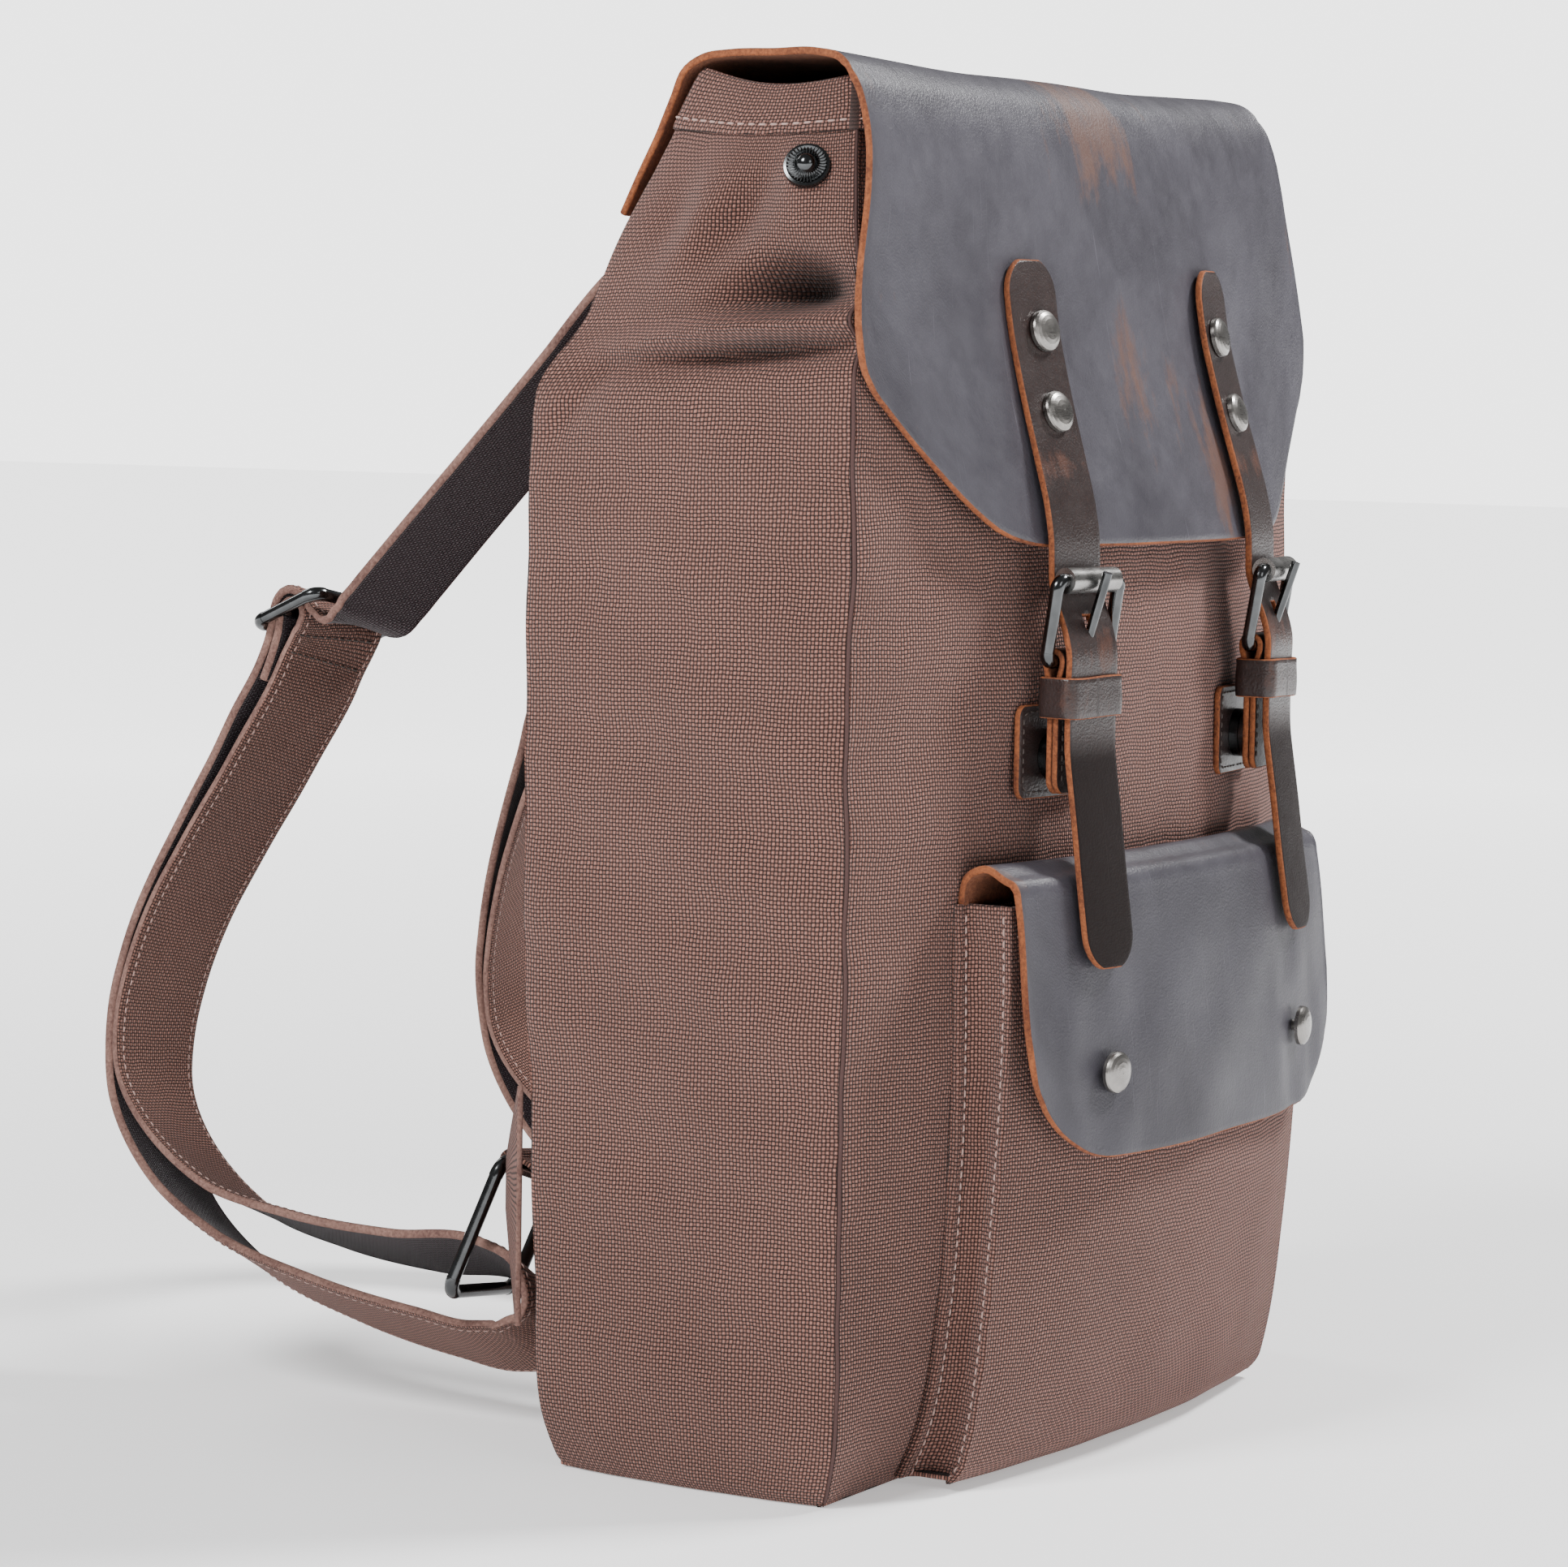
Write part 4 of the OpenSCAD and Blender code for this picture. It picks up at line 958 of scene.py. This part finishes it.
ARC = [(-84, 203.5, 228, 12.5), (-88, 212, 209, 13), (-93, 223.5, 186, 13.5), (-101, 238.5, 150, 14.5),
       (-106, 244.5, 118, 17), (-110, 241, 90, 20)]
LOWER = [(-112.5, 226, 66, 24), (-113, 200, 47.5, 28), (-112, 160, 35, 31), (-110, 120, 28, 33),
         (-109, 98, 26, 33)]
EYE = [(-108, 85.5, 29, 33), (-107, 79.5, 38.5, 33), (-107, 84, 49, 32), (-107, 97, 54.5, 30),
       (-108, 130, 54, 28), (-109, 170, 57, 25), (-111, 205, 66, 22)]
# the end comes up on the inner side, goes round the slider's middle bar and is sewn between the two layers
SLIDER_BAR = (-81, 188.8, 258.2)
END = [(-83.5, 193.6, 236, 12), (-82, 190.6, 244, 12), (-81, 187.2, 251, 12), (-81, 184.9, 256.4, 12),
       (-81, 185.6, 260.4, 12), (-81, 188.6, 262.2, 12), (-81, 191.6, 261.0, 12), (-81, 192.9, 257.6, 12),
       (-81.2, 193.8, 252.5, 12), (-82, 195.6, 245, 12), (-83.2, 198.4, 236, 12)]


RING_AT, RING_TURN, RING_H = np.array([-107, 95, 66]), (20, 8, 8), 46


def across_web(tilt):
    turn = np.radians(16 - tilt * 0.6)
    tilt = np.radians(tilt)
    return np.stack([np.cos(tilt) * np.cos(turn), -np.cos(tilt) * np.sin(turn), -np.sin(tilt)], -1)


def web_frame(route):
    along = unit(np.gradient(route[:, :3], axis=0))
    across = across_web(route[:, 3])
    across = unit(across - along * np.sum(across * along, axis=1, keepdims=True))
    return along, across, np.cross(across, along)


def web_route():
    """The strip from the back down the arc's outer side, round the ring's bar and up to the slider."""
    arc = spline(ARC, 60)
    outward = web_frame(arc)[2]
    gap = WEB_T / 2 + 0.2 + 3.2 * np.linspace(1, 0, 60)[:, None] ** 2
    outer, inner = arc.copy(), arc.copy()
    outer[:, :3] += outward * gap
    inner[:, :3] -= outward * gap
    points = np.concatenate([ROOT, UPPER, outer[3::6], LOWER, EYE, inner[:2:-6][1:], END])
    return spline(points, 760)


def shoulder_strap(right):
    side = SIDES[right]
    body = "shoulder_strap_" + side
    route, thick = web_route(), WEB_T - 0.2
    _, across, outward = web_frame(route)
    shares = mirrored(0.3, 0.6, 0.86, 0.94, 1.0)
    lift = np.where(np.abs(shares) == 1, 0.35, 0.5) * thick
    grid = route[:, None, :3] + across[:, None] * (shares * WEB_W / 2)[None, :, None]
    grid = grid + outward[:, None] * lift[None, :, None]
    strip = shell("shoulder_webbing_" + side, on_side(grid, right), thick, WEBBING)
    blended(strip, "webbing", ["shoulder_web_" + side, "web_root_" + side],
                 mirror((-57, 51, 395), right), mirror((-59, 64, 382), right))
    clear_of_root = 30
    out = outward[clear_of_root:]
    runs = [(mirror(grid[clear_of_root:, j] + out * 0.1, right), mirror(out, right)) for j in (2, 8)]
    stitches("webbing_stitches_" + side, "webbing", runs, THREAD, 2.2, 3.2, 0.3, body)
    # two rows of stitches hold the end that is folded round the slider
    middle, last_turn = grid[:, 5], 500
    bar = last_turn + int(np.argmin(np.linalg.norm(middle[last_turn:] - SLIDER_BAR, axis=1)))
    run = lengths(middle)
    runs = []
    for drop in (22, 31):
        i = int(np.argmin(np.abs(run - run[bar] + drop)))
        face = grid[i, 1:-1] + outward[i] * 0.15
        runs.append((mirror(face, right), mirror(np.tile(outward[i], (9, 1)), right)))
    stitches("webbing_end_stitches_" + side, "webbing", runs, DARK_THREAD, 2.2, 3.0, 0.42, body)


def ring_parts(right):
    side = SIDES[right]
    half_loop = [(-19, 1.75), (-11, 1.8), (-6, 2.4)]
    loop = half_loop + circle(4.3, range(140, -141, -35)) + [(y, -z) for y, z in half_loop[::-1]]
    path = spline([(0, y, z) for y, z in loop], 60)
    local = np.stack([np.broadcast_to(np.linspace(-9, 9, 9) - 8, (60, 9)), np.repeat(path[:, 1:2], 9, 1),
                      np.repeat(path[:, 2:3] + RING_H / 2, 9, 1)], -1)
    grid = turned(local, RING_TURN) + RING_AT
    obj = shell("ring_webbing_" + side, on_side(grid, right), 1.6, [WEB_MAT] * 3, start=(0, 50))
    piece(obj, "webbing", "ring_loop_" + side, body="shoulder_strap_" + side)
    # a pointed tab from the side seam out to the ring: its wide end is on the seam
    tip, seam = np.array([-127, 77]), np.array([-148.5, 58])
    shares = np.linspace(1, 0, 14)
    x, y = (tip[k] + (seam[k] - tip[k]) * shares for k in (0, 1))
    rows = []
    for t in np.linspace(0, 1, 20):
        low, high = 44 + 76 * t, 76 + 17 * t
        puff = 0.8 * bulge(2 * t - 1) * bulge(2 * shares - 1)
        rows.append(np.stack([x, y + 3 + puff, high + (low - high) * shares], -1))
    rows = np.array(rows)
    tab = shell("ring_tab_canvas_" + side, on_side(rows, right), 1.8, [CANVAS_MAT, WEB_EDGE, CANVAS_MAT],
                start=(9, 9))
    piece(tab, "canvas", "ring_tab_" + side)
    normal = grid_normals(rows, False)
    edges = [(rows[i], normal[i]) for i in (2, -3)] + [(rows[:, j], normal[:, j]) for j in (3, 10)]
    runs = [(mirror(path + out * 0.2, right), mirror(out, right)) for path, out in edges]
    stitches("tab_stitches_" + side, "canvas", runs, THREAD, 2.2, 3.2, 0.32)


def handle():
    """Webbing handle hanging flat on the back."""
    place = np.array([0, shape(386, 3) + BACK_CROWN + 1.2, 386])
    ring = rounded_ring(57, 23.5, 7, 90)
    edge = unit(np.roll(ring, -1, 0) - np.roll(ring, 1, 0))
    out = np.stack([edge[:, 1], -edge[:, 0]], -1)
    rows = []
    for t in np.linspace(0, 2 * math.pi, 16, endpoint=False):
        wide, lift = (np.sign(c) * abs(c) ** 0.5 for c in (math.cos(t), math.sin(t)))
        flat = ring + out * 4.4 * wide
        rows.append(np.stack([flat[:, 0], np.full(90, 1.5 + 1.45 * lift), flat[:, 1] - 15.0], -1))
    points = (turned(np.array(rows), (23, 0, 0)) + place).reshape(-1, 3)
    faces = ring_faces(16, 90, wrap=True)
    coords = [(i * 1.2, j * 1.7, 0) for i in range(16) for j in range(90)]
    obj = build("handle_webbing", points, faces, [WEB_MAT], coords, sharp=60)
    piece(obj, "webbing", "grab_handle", body="grab_handle")


def snap_detail(right):
    """Sunburst ring and ball of the side snap, set level on the folded canvas."""
    side = SIDES[right]
    centre = (np.array(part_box("side_snap_" + side)) / MM).mean(axis=0)
    profile = [(7.2, 0.2), (7.0, 1.5), (6.2, 1.7), (5.6, 1.2), (3.9, 1.3), (3.2, 2.2), (2.9, 3.2), (2.4, 4.2),
               (1.5, 4.9), (0.4, 5.1)]
    count = 96
    points, coords = [], []
    for n, (radius, height) in enumerate(profile):
        for t in 2 * math.pi * np.arange(count) / count:
            ridge = 0.35 * math.cos(32 * t) if n in (3, 4) else 0
            points.append((radius * math.cos(t), height + ridge, radius * math.sin(t)))
            coords.append((radius, t, 0))
    faces = ring_faces(len(profile), count, flip=True)
    faces.append(tuple(range(len(points) - count, len(points)))[::-1])
    level = centre[2] - 2.5
    near = body_rings([level - 3, level, level + 3])[:, BACK_L:]
    k = int(np.argmin(np.abs(near[1, :, 1] - centre[1] - 0.5)))
    outward = unit(np.cross(near[1, k + 1] - near[1, k - 1], near[2, k] - near[0, k]))
    outward = outward * -np.sign(outward[0])
    upward = unit(np.array([0, 0, 1.0]) - outward * outward[2])
    points = np.array(points)
    placed = (near[1, k] - 0.2 * outward + points[:, :1] * np.cross(upward, outward)
              + points[:, 1:2] * outward + points[:, 2:] * upward)
    if right:
        faces = [f[::-1] for f in faces]
    obj = build("snap_ring_" + side, mirror(placed, right), faces, [GUNMETAL], coords, sharp=50)
    piece(obj, "snap_metal", "side_snap_" + side)


def hardware():
    kinds = [(("buckle_frame", "buckle_prong", "web_slider", "web_ring", "magnet"), GUNMETAL),
             (("buckle_roller",), BRUSHED), (("strap_rivets", "pocket_cap", "pocket_stud"), SATIN),
             (("base_board",), BOARD_MAT)]
    for name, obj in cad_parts.items():
        for names, material in kinds:
            if name.startswith(names):
                obj.data.materials.clear()
                obj.data.materials.append(material)


# ---- studio, in metres ----
LIT_PLACE = (0, 0, 0.22)


def show(name, data):
    obj = bpy.data.objects.new(name, data)
    bpy.context.scene.collection.objects.link(obj)
    return obj


def light(name, at, size, power):
    data = bpy.data.lights.new(name, "AREA")
    data.shape, data.size, data.energy = "DISK", size, power
    obj = show(name, data)
    obj.location = at
    obj.rotation_euler = (Vector(LIT_PLACE) - Vector(at)).to_track_quat("-Z", "Y").to_euler()


def studio():
    floor = bpy.data.meshes.new("floor")
    corners = [(-1, -1), (1, -1), (1, 1), (-1, 1)]
    floor.from_pydata([(12 * x, 12 * y, 0) for x, y in corners], [], [(0, 1, 2, 3)])
    g = Graph("floor", (0.93, 0.93, 0.935), 0.7)
    away = g.node("VectorMath", {0: g.place()}, "Value", operation="LENGTH")
    glow = g.span(away, 0.5, 2.6, 0.45, 2.5)
    g.set(Specular_IOR_Level=0.1, Emission_Color=(1.0, 1.0, 1.0), Emission_Strength=glow)
    floor.materials.append(g.material)
    show("floor", floor)
    world = bpy.data.worlds.new("studio")
    world.use_nodes = True
    tree = world.node_tree
    soft, white = tree.nodes["Background"], tree.nodes.new("ShaderNodeBackground")
    for background, strength in ((soft, 0.22), (white, 3.2)):
        background.inputs["Color"].default_value = (1, 1, 1, 1)
        background.inputs["Strength"].default_value = strength
    seen = tree.nodes.new("ShaderNodeLightPath")
    choose = tree.nodes.new("ShaderNodeMixShader")
    for n, output in enumerate((seen.outputs["Is Camera Ray"], soft.outputs[0], white.outputs[0])):
        tree.links.new(output, choose.inputs[n])
    tree.links.new(choose.outputs[0], tree.nodes["World Output"].inputs["Surface"])
    bpy.context.scene.world = world
    light("key", (1.05, -0.95, 2.0), 0.5, 74)
    light("front_fill", (-0.9, -2.1, 1.3), 1.0, 9)
    light("side_key", (-1.7, 0.35, 1.75), 0.7, 50)
    light("back_rim", (0.5, 1.7, 1.4), 0.8, 9)


def camera():
    turn, pitch, roll = math.radians(-58.66), math.radians(4.90), math.radians(0.94)
    data = bpy.data.cameras.new("camera")
    data.lens, data.sensor_width, data.clip_end = 107.75, 36, 60
    obj = show("camera", data)
    obj.location = (-1.3522, -0.7659, 0.3416)
    level = Euler((math.pi / 2 - pitch, 0, turn)).to_matrix()
    obj.rotation_euler = (level @ Matrix.Rotation(roll, 3, "Z")).to_euler()
    bpy.context.scene.camera = obj


camera()
studio()
hardware()
canvas_body()
mouth_hem()
base_and_inside()
flap()
pocket()
pocket_flap()
handle()
for right in (False, True):
    closure_strap(right)
    keeper(right)
    chape(right)
    patch(right)
    shoulder_strap(right)
    ring_parts(right)
    snap_detail(right)
